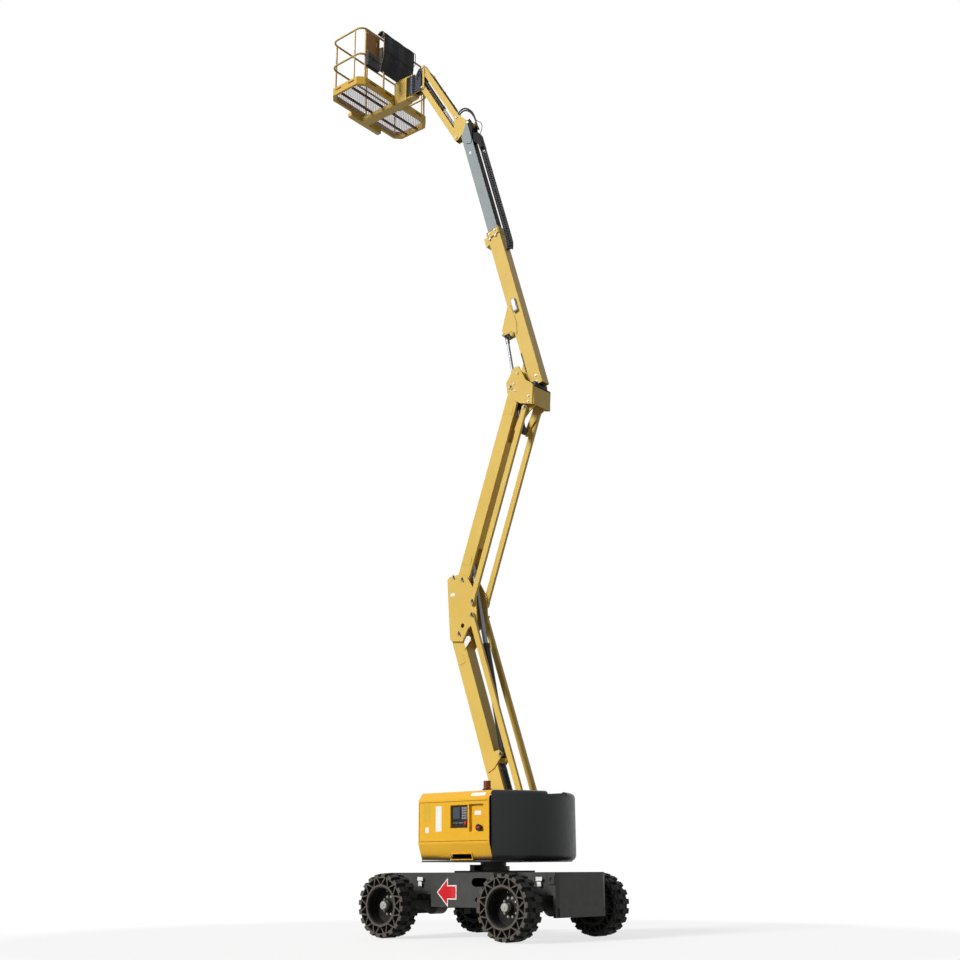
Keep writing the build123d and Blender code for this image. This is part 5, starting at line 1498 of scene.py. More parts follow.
# ---------------------------------------------------------------- arms
@dataclass
class Pins:
    """End caps and keeper plates of the pivot pins, on both sides of the machine."""

    riser_cap: float = 0.015
    rod_cap: float = 0.0135
    jib_cap: float = 0.021
    keeper: tuple[float, float, float] = (0.022, 0.086, 0.006)
    keeper_bolt: float = 0.013
    plate_stop: tuple[float, float, float] = (0.645, 0.0, 5.085)
    boom_eye: tuple[float, float] = (0.861, 0.138)
    riser_eye: tuple[float, float] = (1.302, -0.139)

    def rows(self, machine: Machine) -> dict[str, list[tuple[Vector, float, float, bool]]]:
        """Return each body's pins: centre, y of the end, cap radius and whether a keeper holds it."""
        pivot, arms = machine.pivot, machine.arms
        knee, upper_foot = pivot("mid_link_level"), pivot("upper_arm_lift")
        head, lower_foot = pivot("head_link_level"), pivot("riser_lift")
        jib_low, jib_up, jib_head = pivot("jib_lower_turn"), pivot("jib_lift"), pivot("basket_level")
        rod_foot = pivot("upper_rods_turn")
        rod_head = rod_foot + (head - upper_foot)
        lower_head = pivot("lower_rods_turn") + (knee - lower_foot)
        big, rod, small = self.riser_cap, self.rod_cap, self.jib_cap
        return {
            "mid_link": [(knee, 0.141, big, True), (upper_foot, 0.141, big, True),
                         (machine.at(*self.plate_stop), 0.136, 0.018, True), (rod_foot, 0.194, rod, True),
                         (lower_head, 0.194, rod, True)],
            "head_link": [(head, 0.230, big, True), (rod_head, 0.194, rod, True),
                          (pivot("boom_lift"), 0.230, big, False)],
            "main_boom": [(arms["boom"].at(*self.boom_eye), 0.098, 0.026, False)],
            "lower_arm": [(arms["lower"].at(*self.riser_eye), 0.121, big, True)],
            "fly": [(pivot("jib_foot_level"), 0.084, 0.027, False)],
            "jib_foot": [(jib_low, 0.063, small, False), (jib_up, 0.063, small, False)],
            "basket_bracket": [(jib_head + (jib_low - jib_up), 0.063, small, False),
                               (jib_head, 0.063, small, False)],
        }

    def build(self, machine: Machine) -> None:
        """Make one mesh of caps and one of keepers for each body."""
        keepers: dict[str, tuple[Shape, list]] = {}
        for body, pins in self.rows(machine).items():
            caps, plates, bolts = Shape(), Shape(), []
            for point, y, radius, kept in pins:
                for side in Side:
                    spot = Vector((point.x, side.value * y, point.z))
                    cap = [(0, 0), (radius, 0), (radius, 0.006), (radius * 0.82, 0.010),
                           (radius * 0.3, 0.010), (radius * 0.22, 0.005), (0, 0.005)]
                    caps.lathe(cap, facing(spot, side.out), 20)
                    if kept:
                        bolts += self.hold(plates, spot, side)
            machine.piece(f"pin_caps_{body}", caps, "bolt_zinc", body, "arm_yellow")
            if bolts:
                keepers[body] = (plates, bolts)
        for body, (plates, _) in keepers.items():
            machine.piece(f"pin_keepers_{body}", plates, "hose_rubber", body, "arm_yellow")
        for body, (_, bolts) in keepers.items():
            machine.fasteners.set(f"keeper_bolts_{body}", body, bolts)

    def hold(self, plates: Shape, spot: Vector, side: Side) -> list[tuple[Vector, Vector, float]]:
        """Add one keeper plate next to a pin's end, and return its bolts' places."""
        width, height, depth = self.keeper
        frame = facing(spot + REAR * 0.028, side.out, Vector((0.45 * side.value, 0.0, 1.0)))
        plates.slab(width, height, depth, frame, bevel=0.003, corner=0.010)
        return [(frame @ Vector((0.0, y, depth)), side.out, self.keeper_bolt) for y in (-0.030, 0.030)]


@dataclass
class Riser:
    """Doublers, lug eye, blank plates and clamped hoses of the riser arms, and the head's block."""

    hose: float = 0.011
    hose_rows: tuple[float, ...] = (-0.045, -0.015, 0.015, 0.045)
    hose_span: tuple[float, float] = (0.16, 1.20)
    hose_face: float = -0.053
    clamp: tuple[float, float] = (0.128, 0.030)
    clamp_in: float = 0.09
    clamp_gap: float = 0.55
    eye_outline: Profile = ((2.985, -0.050), (3.148, -0.050), (3.132, -0.150), (3.112, -0.176),
                            (3.085, -0.186), (3.058, -0.176), (3.036, -0.140))
    eye_ring: Profile = ((0.020, 0), (0.034, 0), (0.034, 0.002), (0.031, 0.003), (0.020, 0.003), (0.020, 0))
    eye_y: float = 0.1083
    doubler_y: float = 0.1003
    doubler_half: float = 0.07
    doublers: tuple[tuple[str, tuple[float, float], tuple[float, float]], ...] = (
        ("lower", (0.62, 2.86), (0.02, 0.15)),
        ("upper", (0.30, 2.66), (-0.08, 0.08)),
    )
    head_top: tuple[float, float, float] = (-0.955, 0.0, 7.800)
    outlet: Profile = ((0, 0), (0.016, 0), (0.016, 0.020), (0.011, 0.024), (0.011, 0.060), (0, 0.062))
    head_bolts: Profile = ((-0.636, 7.862), (-0.657, 7.743), (-0.905, 7.60), (-0.905, 7.52))

    def build(self, machine: Machine) -> None:
        """Dress the lower arm, knee, upper arm and head."""
        self.lug_eye(machine)
        self.hoses(machine)
        self.plates(machine)
        self.joint_plates(machine)
        self.head(machine)

    def lug_eye(self, machine: Machine) -> None:
        """Lay the pale forged eye over the lower arm's lug plates."""
        arm, shape = machine.arms["lower"], Shape()
        for side in Side:
            y = self.eye_y * side.value
            thick = side.out * 0.003
            shape.plate([arm.at(a, c, y) for a, c in self.eye_outline], thick)
            shape.lathe(self.eye_ring, facing(arm.at(3.085, -0.140, y + thick.y), side.out), 24)
        machine.piece("lug_eye", shape, "label_white", "lower_arm", "arm_yellow")

    def hoses(self, machine: Machine) -> None:
        """Clamp a flat row of hoses along the lower arm's rear face."""
        arm = machine.arms["lower"]
        start, end = self.hose_span
        face, lift = self.hose_face, self.hose_face - self.hose - 0.002
        tubes, clamps = Shape(), Shape()
        for y in self.hose_rows:
            sway = 0.004 if y > 0 else -0.004
            line = ((start, face + 0.004, y), (start + 0.06, lift, y), ((start + end) / 2, lift, y + sway),
                    (end - 0.06, lift, y), (end, face + 0.004, y))
            tubes.pipe([arm.at(*place) for place in line], self.hose, 10)
        count = max(2, round((end - start) / self.clamp_gap))
        for k in range(count + 1):
            along = start + self.clamp_in + (end - start - 2 * self.clamp_in) * k / count
            frame = facing(arm.at(along, face), arm.back, arm.run)
            clamps.slab(*self.clamp, 2 * self.hose + 0.006, frame, bevel=0.004)
        machine.piece("clamped_hoses_lower", tubes, "hose_rubber", "lower_arm", "black_plastic")
        machine.piece("hose_clamps_lower", clamps, "black_plastic", "lower_arm", "black_plastic")

    def plates(self, machine: Machine) -> None:
        """Stick the blank plate on the knee plates."""
        shape = Shape()
        for side in Side:
            frame = facing(machine.at(0.639, 0.1351 * side.value, 4.820), side.out)
            shape.slab(0.085, 0.045, LABEL, frame, corner=0.005)
        machine.piece("knee_plate_blank", shape, "label_white", "mid_link")

    def joint_plates(self, machine: Machine) -> None:
        """Add the doubler plates where the arms' eyes are welded on."""
        half = self.doubler_half
        for name, ends, (low, high) in self.doublers:
            arm, shape = machine.arms[name], Shape()
            for side in Side:
                y = self.doubler_y * side.value
                for along in ends:
                    corners = ((along - half, low), (along + half, low + 0.02), (along + half, high - 0.02),
                               (along - half, high))
                    shape.plate([arm.at(a, c, y) for a, c in corners], side.out * 0.004)
            machine.piece(f"doublers_{name}", shape, "arm_yellow", f"{name}_arm")

    def head(self, machine: Machine) -> None:
        """Add the head's hose block, its pipes and the outer bolts."""
        top = machine.at(*self.head_top)
        block = Shape()
        block.block(top + Vector((-0.030, -0.150, -0.035)), top + Vector((0.130, 0.150, 0.045)), 0.008)
        for y in (-0.11, -0.04, 0.03, 0.10):
            block.lathe(self.outlet, facing(top + Vector((0.05, y, 0.045)), OVER), 12)
        machine.piece("head_hose_block", block, "hose_rubber", "head_link", "black_metal")
        places = [(machine.at(x, 0.2255 * side.value, z), side.out, 0.030)
                  for side in Side for x, z in self.head_bolts]
        machine.fasteners.set("head_bolts", "head_link", places)


@dataclass
class Boom:
    """Collar bolts, root bolts, cable trough and the box on the side of the main boom."""

    bolts: tuple[tuple[float, float, float], ...] = (
        (-0.196, 0.0972, 10.653),
        (-0.204, 0.0972, 10.555),
        (-0.081, 0.0972, 10.615),
        (-0.090, 0.0972, 10.520),
        (-0.806, 0.0853, 7.930),
        (-0.942, 0.0853, 7.961),
        (-0.961, 0.0853, 7.864),
    )
    bolt: float = 0.034
    skin: float = 0.0853
    collar_y: float = 0.0973
    collar_line: Profile = ((2.590, -0.290), (2.705, -0.290), (2.705, -0.080), (2.590, -0.080))
    border_half: float = 0.003
    trough_line: Profile = ((0.02, -0.085), (0.36, -0.085), (0.36, -0.068), (0.02, -0.068))
    fly_plate_at: tuple[float, float, float] = (0.341, 0.0651, 12.278)

    def build(self, machine: Machine) -> None:
        """Dress the main boom and the fly boom."""
        boom = machine.arms["boom"]
        places = [(machine.at(x, y * side.value, z), side.out, self.bolt)
                  for side in Side for x, y, z in self.bolts]
        machine.fasteners.set("boom_bolts", "main_boom", places)
        self.collar(machine, boom)
        self.trough(machine, boom)
        self.side_box(machine, boom)
        self.fly_plate(machine)

    def collar(self, machine: Machine, boom: Member) -> None:
        """Add the dark wear strips that show at the boom's nose."""
        shape = Shape()
        line = self.collar_line
        for side in Side:
            y = self.collar_y * side.value
            for (a0, c0), (a1, c1) in zip(line, line[1:] + line[:1]):
                run = Vector((a1 - a0, c1 - c0)).normalized() * self.border_half
                wide = ((a0 - run.y, c0 + run.x), (a1 - run.y, c1 + run.x), (a1 + run.y, c1 - run.x),
                        (a0 + run.y, c0 - run.x))
                shape.plate([boom.at(a, c, y) for a, c in wide], side.out * 0.002)
        machine.piece("collar_border", shape, "hose_rubber", "main_boom", "black_plastic")

    def trough(self, machine: Machine, boom: Member) -> None:
        """Lay the dark cable trough along the boom's root."""
        shape = Shape()
        for side in Side:
            corners = [boom.at(a, c, self.skin * side.value) for a, c in self.trough_line]
            shape.plate(corners, side.out * 0.006)
        machine.piece("cable_trough", shape, "hose_rubber", "main_boom", "black_plastic")

    def side_box(self, machine: Machine, boom: Member) -> None:
        """Fix the small sensor box to the boom's left side."""
        depth = 0.040
        frame = facing(boom.at(1.190, -0.205, self.skin), LEFTWARD, boom.run)
        box = Shape().slab(0.085, 0.235, depth, frame, bevel=0.008, corner=0.012)
        machine.piece("boom_side_box", box, "switch_grey", "main_boom", "boom_grey")
        frame = frame @ Matrix.Translation((0.0, 0.0, depth))
        lid = Shape().slab(0.060, 0.200, 0.004, frame, bevel=0.0015, corner=0.010)
        machine.piece("boom_side_lid", lid, "label_white", "main_boom", "boom_grey")

    def fly_plate(self, machine: Machine) -> None:
        """Stick the round blank plate on the fly boom."""
        frame = facing(machine.at(*self.fly_plate_at), LEFTWARD)
        machine.piece("fly_plate", Shape().lathe(disc(0.024, 0.0003), frame, 24), "label_white", "fly")


class ChainTree:
    """Links of a hose carrier, set along a seed line by Geometry Nodes."""

    def __init__(self) -> None:
        """Build the tree: resample the line, and put a hollow link at each point."""
        inputs = {
            "Pitch": ("NodeSocketFloat", 0.055),
            "Depth": ("NodeSocketFloat", 0.058),
            "Width": ("NodeSocketFloat", 0.09),
            "Plate": ("NodeSocketFloat", 0.006),
            "Material": ("NodeSocketMaterial", None),
        }
        self.make = NodeMesh("carrier_links", inputs)
        graph, given = self.make.graph, self.make.given
        line = graph.node("GeometryNodeMeshToCurve", {0: given["Geometry"]}).outputs[0]
        inputs = {"Curve": line, "Length": given["Pitch"]}
        points = graph.node("GeometryNodeCurveToPoints", inputs, mode="LENGTH").outputs
        both = graph.node("GeometryNodeJoinGeometry")
        for sign in (1.0, -1.0):
            graph.tree.links.new(self.cheek(sign), both.inputs[0])
            graph.tree.links.new(self.rung(sign), both.inputs[0])
        inputs = {"Points": points["Points"], "Instance": both.outputs[0], "Rotation": points["Rotation"]}
        links = graph.node("GeometryNodeInstanceOnPoints", inputs)
        self.make.close(links.outputs[0])

    def part(self, size: tuple, shift: tuple) -> bpy.types.NodeSocket:
        """Return a box of the given size sockets, moved from the link's centre."""
        graph = self.make.graph
        box = graph.node("GeometryNodeMeshCube", {"Size": self.vector(size)})
        move = {"Geometry": box.outputs["Mesh"], "Translation": self.vector(shift)}
        return graph.node("GeometryNodeTransform", move).outputs[0]

    def vector(self, parts: tuple) -> bpy.types.NodeSocket:
        """Return a vector of three numbers or sockets."""
        return self.make.graph.node("ShaderNodeCombineXYZ", dict(zip("XYZ", parts))).outputs[0]

    def cheek(self, sign: float) -> bpy.types.NodeSocket:
        """Return one side plate of a link."""
        graph, given = self.make.graph, self.make.given
        half = graph.math("MULTIPLY", given["Width"], 0.5 * sign)
        length = graph.math("MULTIPLY", given["Pitch"], 1.16)
        return self.part((given["Depth"], given["Plate"], length), (0.0, half, 0.0))

    def rung(self, sign: float) -> bpy.types.NodeSocket:
        """Return one cross bar of a link."""
        graph, given = self.make.graph, self.make.given
        half = graph.math("MULTIPLY", given["Depth"], 0.42 * sign)
        height = graph.math("MULTIPLY", given["Pitch"], 0.45)
        return self.part((given["Plate"], given["Width"], height), (half, 0.0, 0.0))


@dataclass
class Carrier:
    """The hose carrier with its links, its hoses and its grey head box."""

    pitch: float = 0.046
    depth: float = 0.050
    width: float = 0.082
    boom_rear: float = -0.276
    line: Profile = ((4.335, 0.113), (3.6, 0.113), (2.9, 0.113), (2.42, 0.110), (2.315, 0.098),
                     (2.262, 0.078))
    hose_rows: tuple[float, ...] = (-0.026, -0.009, 0.009, 0.026)
    hose: float = 0.0075
    outlet: Profile = ((0, 0), (0.015, 0), (0.015, 0.016), (0.010, 0.022), (0.010, 0.05), (0, 0.05))
    routes: tuple[tuple[str, str, float, float, Profile], ...] = (
        ("hose_loop", "jib_foot", 0.013, 0.036, (
            (0.640, 13.128), (0.590, 13.190), (0.500, 13.205), (0.400, 13.150), (0.315, 13.050),
            (0.262, 12.930), (0.228, 12.800), (0.190, 12.690))),
        ("hose_loop_twin", "jib_foot", 0.013, 0.008, (
            (0.632, 13.120), (0.585, 13.172), (0.500, 13.182), (0.410, 13.128), (0.330, 13.030),
            (0.275, 12.910), (0.238, 12.790), (0.196, 12.690))),
        ("cable_loop", "fly", 0.006, -0.020, (
            (0.300, 12.960), (0.262, 12.900), (0.205, 12.850), (0.160, 12.790), (0.158, 12.700),
            (0.192, 12.628))),
    )

    def build(self, machine: Machine) -> None:
        """Replace the plain carrier by links along its line, with the hoses inside."""
        boom, rear = machine.arms["boom"], self.boom_rear
        line = smooth_line([boom.at(a, rear - c) for a, c in self.line], 10)
        mesh = bpy.data.meshes.new("carrier_line")
        mesh.from_pydata(line, [(k, k + 1) for k in range(len(line) - 1)], [])
        material = machine.palette.materials["black_plastic"]
        values = {"Pitch": self.pitch, "Depth": self.depth, "Width": self.width, "Material": material}
        links = ChainTree().make.bake("carrier_links", mesh, values)
        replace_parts(add_piece("carrier_links", links, material, "fly"), "hose_carrier")
        hoses = Shape()
        for y in self.hose_rows:
            hoses.tube([point + LEFTWARD * y for point in line[1:-1]], self.hose, 8)
        machine.piece("carrier_hoses", hoses, "hose_rubber", "fly", "black_plastic")
        self.head_box(machine, boom)
        self.loops(machine)

    def head_box(self, machine: Machine, boom: Member) -> None:
        """Cover the carrier's bracket with its pressed box and its cable outlets."""
        rear = self.boom_rear
        frame = facing(boom.at(4.500, rear - 0.128), boom.back, boom.run)
        shape = Shape().slab(0.104, 0.250, 0.018, frame, bevel=0.006, corner=0.012)
        machine.piece("carrier_head", shape, "boom_grey", "fly")
        outlets = Shape()
        for y in (-0.03, 0.03):
            outlets.lathe(self.outlet, facing(boom.at(4.64, rear - 0.110, y), boom.run, boom.back), 12)
        machine.piece("carrier_outlets", outlets, "hose_rubber", "fly", "black_plastic")

    def loops(self, machine: Machine) -> None:
        """Hang the two thick hose loops and the thin one at the fly boom's top."""
        for name, far, radius, y, route in self.routes:
            points = [machine.at(x, y, z) for x, z in route]
            machine.cord(name, points, radius, "fly", far)


@dataclass
class Jib:
    """Clamped hoses on the jib, and the rotary actuator's housing and pipes at its head."""

    hose: float = 0.007
    hose_rows: tuple[float, ...] = (-0.024, 0.0, 0.024)
    hose_line: Profile = ((0.16, -0.046), (0.24, -0.058), (0.75, -0.058), (1.26, -0.058), (1.34, -0.046))
    clips: tuple[float, ...] = (0.35, 0.75, 1.15)
    drum: float = 0.0965
    drum_ring: float = 0.004
    drum_rings: int = 9
    cheek: Profile = ((1.440, 13.985), (1.600, 13.985), (1.600, 14.300), (1.520, 14.420), (1.470, 14.440),
                      (1.440, 14.350))
    cheek_y: float = 0.0593
    pipe: float = 0.0085
    pipe_y: float = 0.078

    def build(self, machine: Machine) -> None:
        """Dress the jib's bars and its head."""
        upper = machine.arms["jib_upper"]
        tubes, clips = Shape(), Shape()
        for y in self.hose_rows:
            tubes.pipe([upper.at(a, c, y) for a, c in self.hose_line], self.hose, 8)
        machine.piece("jib_hoses", tubes, "hose_rubber", "jib_upper", "black_plastic")
        for along in self.clips:
            frame = facing(upper.at(along, -0.0503), upper.back, upper.run)
            clips.slab(0.070, 0.030, 0.018, frame, bevel=0.003)
        machine.piece("jib_clips", clips, "black_plastic", "jib_upper", "black_plastic")
        self.actuator(machine)
        self.head_hoses(machine)

    def actuator(self, machine: Machine) -> None:
        """Wrap the rotary actuator in its dark ribbed housing with end rings and cheek covers."""
        pivot = machine.pivot("basket_turn")
        z0, z1 = machine.box("basket_bracket")[0].z + 0.003, pivot.z + 0.326
        step = (z1 - z0) / self.drum_rings
        inner, outer = self.drum, self.drum + self.drum_ring
        profile = [(0.0955, z0)]
        for k in range(self.drum_rings):
            base = z0 + (z1 - z0) * k / self.drum_rings
            profile += [(outer, base + step * 0.12), (outer, base + step * 0.48),
                        (inner, base + step * 0.56), (inner, base + step * 0.98)]
        profile += [(0.0955, z1), (0.0955, z0)]
        shape = Shape().lathe(profile, Matrix.Translation((pivot.x, 0, 0)), 40)
        for side in Side:
            y = self.cheek_y * side.value
            shape.plate([machine.at(x, y, z) for x, z in self.cheek], side.out * 0.012)
        machine.piece("actuator_housing", shape, "blue_black", "basket_bracket", "black_metal")
        places = []
        for k in range(8):
            turn = math.pi / 4 * k + 0.2
            spot = Vector((pivot.x + 0.078 * math.cos(turn), 0.078 * math.sin(turn), z0 - 0.001))
            places.append((spot, UNDER, 0.016))
        machine.fasteners.set("actuator_bolts", "basket_bracket", places)

    def head_hoses(self, machine: Machine) -> None:
        """Bend the fixed supply pipes round the actuator's cheeks."""
        pipes = Shape()
        for side in Side:
            for shift, top in ((0.0, 14.395), (0.028, 14.330)):
                line = ((1.452, 14.06), (1.449, 14.20 + shift), (1.470, top - 0.050), (1.500, top - 0.028),
                        (1.532, top - 0.052), (1.546, 14.22))
                points = [machine.at(x, side.value * self.pipe_y, z) for x, z in line]
                pipes.pipe(points, self.pipe, 8, 8)
        machine.piece("actuator_pipes", pipes, "hose_rubber", "basket_bracket", "black_plastic")


# ---------------------------------------------------------------- platform
class MeshFloorTree:
    """Expanded metal: a square strand swept by Geometry Nodes along the seed's zigzag edges."""

    def __init__(self) -> None:
        """Build the tree: the strand's section swept along the curves that the edges make."""
        inputs = {
            "Strand": ("NodeSocketFloat", 0.0024),
            "Material": ("NodeSocketMaterial", None),
        }
        self.make = NodeMesh("expanded_metal", inputs)
        graph, given = self.make.graph, self.make.given
        curve = graph.node("GeometryNodeMeshToCurve", {0: given["Geometry"]}).outputs[0]
        ring = graph.node("GeometryNodeCurvePrimitiveCircle", {"Resolution": 4, "Radius": given["Strand"]})
        inputs = {"Curve": curve, "Profile Curve": ring.outputs[0], "Fill Caps": True}
        self.make.close(graph.node("GeometryNodeCurveToMesh", inputs).outputs[0])


@dataclass
class Platform:
    """Floor mesh, ribs and slot marks in painted shade, console, fabric cover, guard bars, plates and posts
    of the platform.
    """

    cell: tuple[float, float] = (0.046, 0.022)
    strand: float = 0.0042
    hem: float = 0.006
    floor_corner: float = 0.110
    rib: float = 0.040
    slot: tuple[float, float] = (0.034, 0.0010)
    panel_slope: tuple[float, float] = (0.110, 0.160)
    stick: Profile = ((0, 0), (0.032, 0), (0.028, 0.012), (0.014, 0.022), (0.008, 0.026), (0.008, 0.062),
                      (0.015, 0.070), (0.017, 0.088), (0.010, 0.100), (0, 0.102))
    switch: Profile = ((0, 0), (0.009, 0), (0.009, 0.005), (0.0035, 0.007), (0.004, 0.022), (0, 0.024))
    button: Profile = ((0, 0), (0.014, 0), (0.014, 0.014), (0.024, 0.016), (0.025, 0.023), (0.018, 0.030),
                       (0, 0.032))
    slot_shares: tuple[float, float] = (0.30, 0.70)
    slot_rows: tuple[float, ...] = (-0.60, -0.20, 0.20, 0.60)
    sticks: tuple[float, ...] = (-0.21, 0.0, 0.21)
    switches: int = 9
    switch_pitch: float = 0.065
    guard_bar: float = 0.0065
    guard_feet: Profile = ((-0.022, 14.985), (0.020, 15.140))
    cloth: float = 0.0022
    cloth_fold: tuple[float, float, float] = (0.010, 5.0, 2.2)
    cloth_hang: tuple[float, float, float] = (0.014, 2.5, 3.0)
    cloth_grid: tuple[int, int] = (44, 56)
    cloth_foot: Profile = ((0.088, 0.012), (0.060, 0.120), (0.022, 0.280), (0.004, 0.440), (0.002, 0.600))
    cloth_top: Profile = ((0.006, -0.070), (0.036, -0.016), (0.110, -0.006), (0.178, -0.022))
    seams: tuple[float, ...] = (0.36, 0.62, 0.78)
    post_x: float = 0.262
    post: float = 0.0125

    def build(self, machine: Machine) -> None:
        """Dress the platform."""
        self.floor(machine)
        self.ribs(machine)
        self.slots(machine)
        self.console(machine)
        self.cover(machine)
        self.guard(machine)
        self.plates(machine)
        self.beam(machine)
        self.posts(machine)

    def floor(self, machine: Machine) -> None:
        """Replace the plain floor by expanded metal in its frame."""
        low, high = machine.box("basket_floor")
        z = (low.z + high.z) / 2
        length, half = self.cell
        rows = int((high.x - low.x - 2 * self.hem) / half)
        count = int((high.y - low.y - 2 * self.hem) / length * 2)
        verts, edges = [], []
        for row in range(rows + 1):
            x = low.x + self.hem + row * half
            cut = max(0.0, self.floor_corner - (x - low.x), self.floor_corner - (high.x - x))
            first = len(verts)
            for k in range(count + 1):
                y = low.y + self.hem + k * length / 2
                if y < low.y + cut or y > high.y - cut:
                    continue
                lean = half * 0.46 * (1 if (k + row) % 2 else -1)
                verts.append((min(max(x + lean, low.x + 0.003), high.x - 0.003), y, z))
            edges += [(k, k + 1) for k in range(first, len(verts) - 1)]
        mesh = bpy.data.meshes.new("strands")
        mesh.from_pydata(verts, edges, [])
        material = machine.palette.materials["floor_steel"]
        made = MeshFloorTree().make.bake("floor_mesh", mesh, {"Strand": self.strand, "Material": material})
        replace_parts(add_piece("floor_mesh", made, material, "basket"), "basket_floor")

    def ribs(self, machine: Machine) -> None:
        """Add the floor's cross ribs under the mesh, dark brown as painted shade over their yellow paint.
        """
        low, high = machine.box("basket_tray")
        top = machine.box("basket_floor")[0].z - 0.0004
        shape = Shape()
        half, hem = self.rib / 2, self.hem
        for share in (1 / 3, 2 / 3):
            x = low.x + (high.x - low.x) * share
            foot = Vector((x - half, low.y + hem, low.z + 0.001))
            shape.block(foot, Vector((x + half, high.y - hem, top)), 0.003)
        foot = Vector((low.x + hem, -0.030, low.z + 0.0015))
        shape.block(foot, Vector((high.x - hem, 0.030, top - 0.0005)), 0.003)
        machine.piece("floor_ribs", shape, "rib_brown", "basket", "hood_yellow_metal")

    def slots(self, machine: Machine) -> None:
        """Mark the toe board's slots by dark inset plates of painted shade, outside and inside."""
        low, high = machine.box("basket_tray")
        z = (low.z + high.z) / 2 + 0.018
        height, depth = self.slot
        places = []
        for side in Side:
            y = side.face((low, high)) - side.value * 0.0004
            for share in self.slot_shares:
                places.append((0.150, Vector((low.x + (high.x - low.x) * share, y, z)), side.out))
        for x, way in ((low.x, REAR), (high.x, AHEAD)):
            for y in self.slot_rows:
                places.append((0.170, Vector((x - way.x * 0.0004, y, z)), way))
        shape = Shape()
        for width, spot, out in places:
            shape.slab(width, height, depth, facing(spot, out), corner=0.015)
        machine.piece("toe_board_slots", shape, "seam_shadow", "basket", "hood_yellow_metal")

    def console(self, machine: Machine) -> None:
        """Set the console's joysticks, switches and stop button on its sloping panel."""
        low, high = machine.box("control_console")
        rise, run = self.panel_slope
        normal = Vector((rise, 0.0, run)).normalized()
        up = Vector((-run, 0.0, rise)).normalized()
        middle = Vector((low.x + 0.170, 0.0, high.z - 0.055)) + normal * 0.0005
        frame = facing(middle, normal, up)
        depth = 0.003
        plate = Shape().slab(0.600, 0.160, depth, frame, corner=0.010)
        machine.piece("console_plate", plate, "switch_grey", "basket", "black_plastic")
        parts = Shape()
        for x in self.sticks:
            parts.lathe(self.stick, frame @ Matrix.Translation((x, 0.0, depth)), 20)
        for k in range(self.switches):
            place = Matrix.Translation((-0.26 + k * self.switch_pitch, -0.060, depth))
            parts.lathe(self.switch, frame @ place, 10)
        machine.piece("console_controls", parts, "hose_rubber", "basket", "black_plastic")
        stop = Shape().lathe(self.button, frame @ Matrix.Translation((0.265, 0.040, depth)), 24)
        machine.piece("console_stop", stop, "signal_red", "basket")

    def cover(self, machine: Machine) -> None:
        """Drape the coated fabric cover over the guard hoops and the console."""
        low, high = machine.box("console_cover")
        rows, columns = self.cloth_grid
        rear = low.x + 0.004
        profile = [Vector((rear + x, 0.0, low.z + z)) for x, z in self.cloth_foot]
        profile += [Vector((rear + x, 0.0, high.z + z)) for x, z in self.cloth_top]
        line = smooth_line(profile)
        grid = []
        for j in range(columns + 1):
            share = j / columns
            y = low.y + self.hem + (high.y - low.y - 2 * self.hem) * share
            grid.append([self.cloth_point(line, i / rows, share, y) for i in range(rows + 1)])
        mesh, area = sheet_mesh("cover_fabric_sheet", grid, self.cloth)
        piece = machine.piece("console_cover_sheet", mesh, "cover_fabric", "basket")
        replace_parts(piece, "console_cover")
        self.binding(machine, grid)

    def cloth_point(self, line: Sequence[Vector], rise: float, share: float, y: float) -> Vector:
        """Return one point of the cover, with its folds.

        Args:
            line: The cover's line in the side view, from its foot up.
            rise: How far up the line, from 0 to 1.
            share: How far across the cover, from 0 to 1.
            y: The same place as a coordinate.

        Returns:
            The point.
        """
        place = rise * (len(line) - 1)
        k = min(int(place), len(line) - 2)
        point = line[k].lerp(line[k + 1], place - k)
        depth = math.sin(math.pi * min(1.0, rise * 1.15)) ** 0.5
        size, across, up = self.cloth_fold
        fold = size * depth * noise.noise(Vector((y * across, point.z * up, 1.7)))
        size, waves, lean = self.cloth_hang
        hang = size * depth * (0.5 + 0.5 * math.cos(2 * math.pi * share * waves + point.z * lean))
        return Vector((point.x + 0.008 + fold + hang, y, point.z))

    def binding(self, machine: Machine, grid: list[list[Vector]]) -> None:
        """Sew the pale binding round the cover's open left end, and ribs across its back."""
        rim = Shape().tube(grid[-1], 0.006, 8)
        machine.piece("cover_binding", rim, "binding_beige", "basket", "cover_fabric")
        seams = Shape()
        for share in self.seams:
            row = int(share * (len(grid[0]) - 1))
            seams.tube([ring[row] + REAR * self.cloth for ring in grid], 0.0032, 6)
        machine.piece("cover_seams", seams, "cover_fabric", "basket")

    def guard(self, machine: Machine) -> None:
        """Bend the thin grey bars that stand outside the cover's two ends."""
        low, high = machine.box("console_cover")
        shape = Shape()
        for box_y, (shift, foot) in zip((low.y, high.y), self.guard_feet):
            line = ((0.128, foot - 0.02), (0.030, foot), (0.016, (foot + high.z) / 2),
                    (0.030, high.z - 0.035), (0.128, high.z - 0.012))
            shape.pipe([Vector((low.x + x, box_y + shift, z)) for x, z in line], self.guard_bar, 8, 8)
        machine.piece("guard_bars", shape, "boom_grey", "basket")

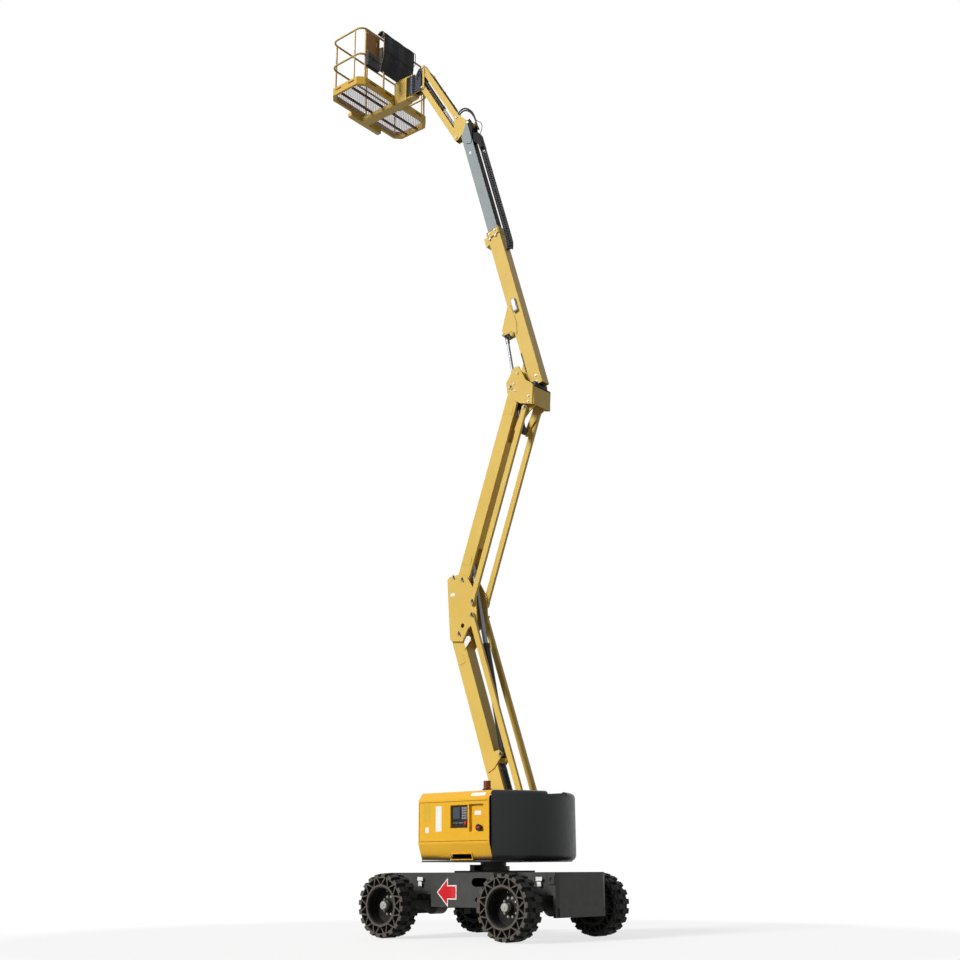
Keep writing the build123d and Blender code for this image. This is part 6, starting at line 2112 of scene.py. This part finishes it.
    def plates(self, machine: Machine) -> None:
        """Rivet the rear plate and put the lid and latch on the document box."""
        low, high = machine.box("rear_plate")
        corners = [(y, z) for y in (low.y + 0.03, high.y - 0.03) for z in (low.z + 0.04, high.z - 0.04)]
        places = [(Vector((low.x, y, z)), REAR, 0.018) for y, z in corners]
        machine.fasteners.set("plate_bolts", "basket", places)
        dots = Shape()
        for z in (high.z - 0.150, high.z - 0.195):
            frame = facing(Vector((low.x, low.y + 0.085, z)), REAR)
            dots.lathe([(0, 0), (0.014, 0), (0.014, 0.002), (0, 0.003)], frame, 16)
        machine.piece("plate_dots", dots, "label_white", "basket")
        low, high = machine.box("document_box")
        middle = (low.y + high.y) / 2
        frame = facing(Vector((low.x, middle, high.z - 0.062)), REAR)
        lid = Shape().slab(high.y - low.y - 0.012, 0.060, 0.006, frame, bevel=0.002, corner=0.006)
        frame = facing(Vector((low.x - 0.004, middle, high.z - 0.088)), REAR)
        lid.slab(0.030, 0.040, 0.010, frame, bevel=0.002, corner=0.004)
        machine.piece("document_lid", lid, "black_plastic", "basket")

    def beam(self, machine: Machine) -> None:
        """Cap the front beam's two open ends."""
        box = machine.box("basket_support")
        shape = Shape()
        for side in reversed(Side):
            y = side.face(box) + side.value * 0.0003
            frame = facing(Vector((box[1].x - 0.045, y, box[0].z + 0.0395)), side.out)
            shape.slab(0.086, 0.076, 0.005, frame, bevel=0.002, corner=0.006)
        machine.piece("beam_caps", shape, "hood_yellow_metal", "basket")

    def posts(self, machine: Machine) -> None:
        """Add the two side posts between the tray and the top rail."""
        box = machine.box("basket_rails")
        foot_z, top_z = machine.box("basket_tray")[1].z - 0.01, box[1].z - 0.105
        shape = Shape()
        for side in Side:
            x, y = box[0].x + self.post_x, side.face(box) - side.value * 0.0165
            foot, top = Vector((x, y, foot_z)), Vector((x, y, top_z))
            shape.tube([foot, top.lerp(foot, 0.5), top], self.post, 12)
        machine.piece("side_posts", shape, "rail_yellow", "basket")


BUILDERS = (Wheels, ChassisTrim, Shells, Turret, Pins, Riser, Boom, Carrier, Jib, Platform)


def main() -> None:
    """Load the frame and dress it."""
    logging.basicConfig(level=logging.INFO, format="%(name)s %(message)s")
    machine = Machine(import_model())
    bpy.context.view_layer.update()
    Studio().build(machine)
    for builder in BUILDERS:
        builder().build(machine)


if __name__ == "__main__":
    main()
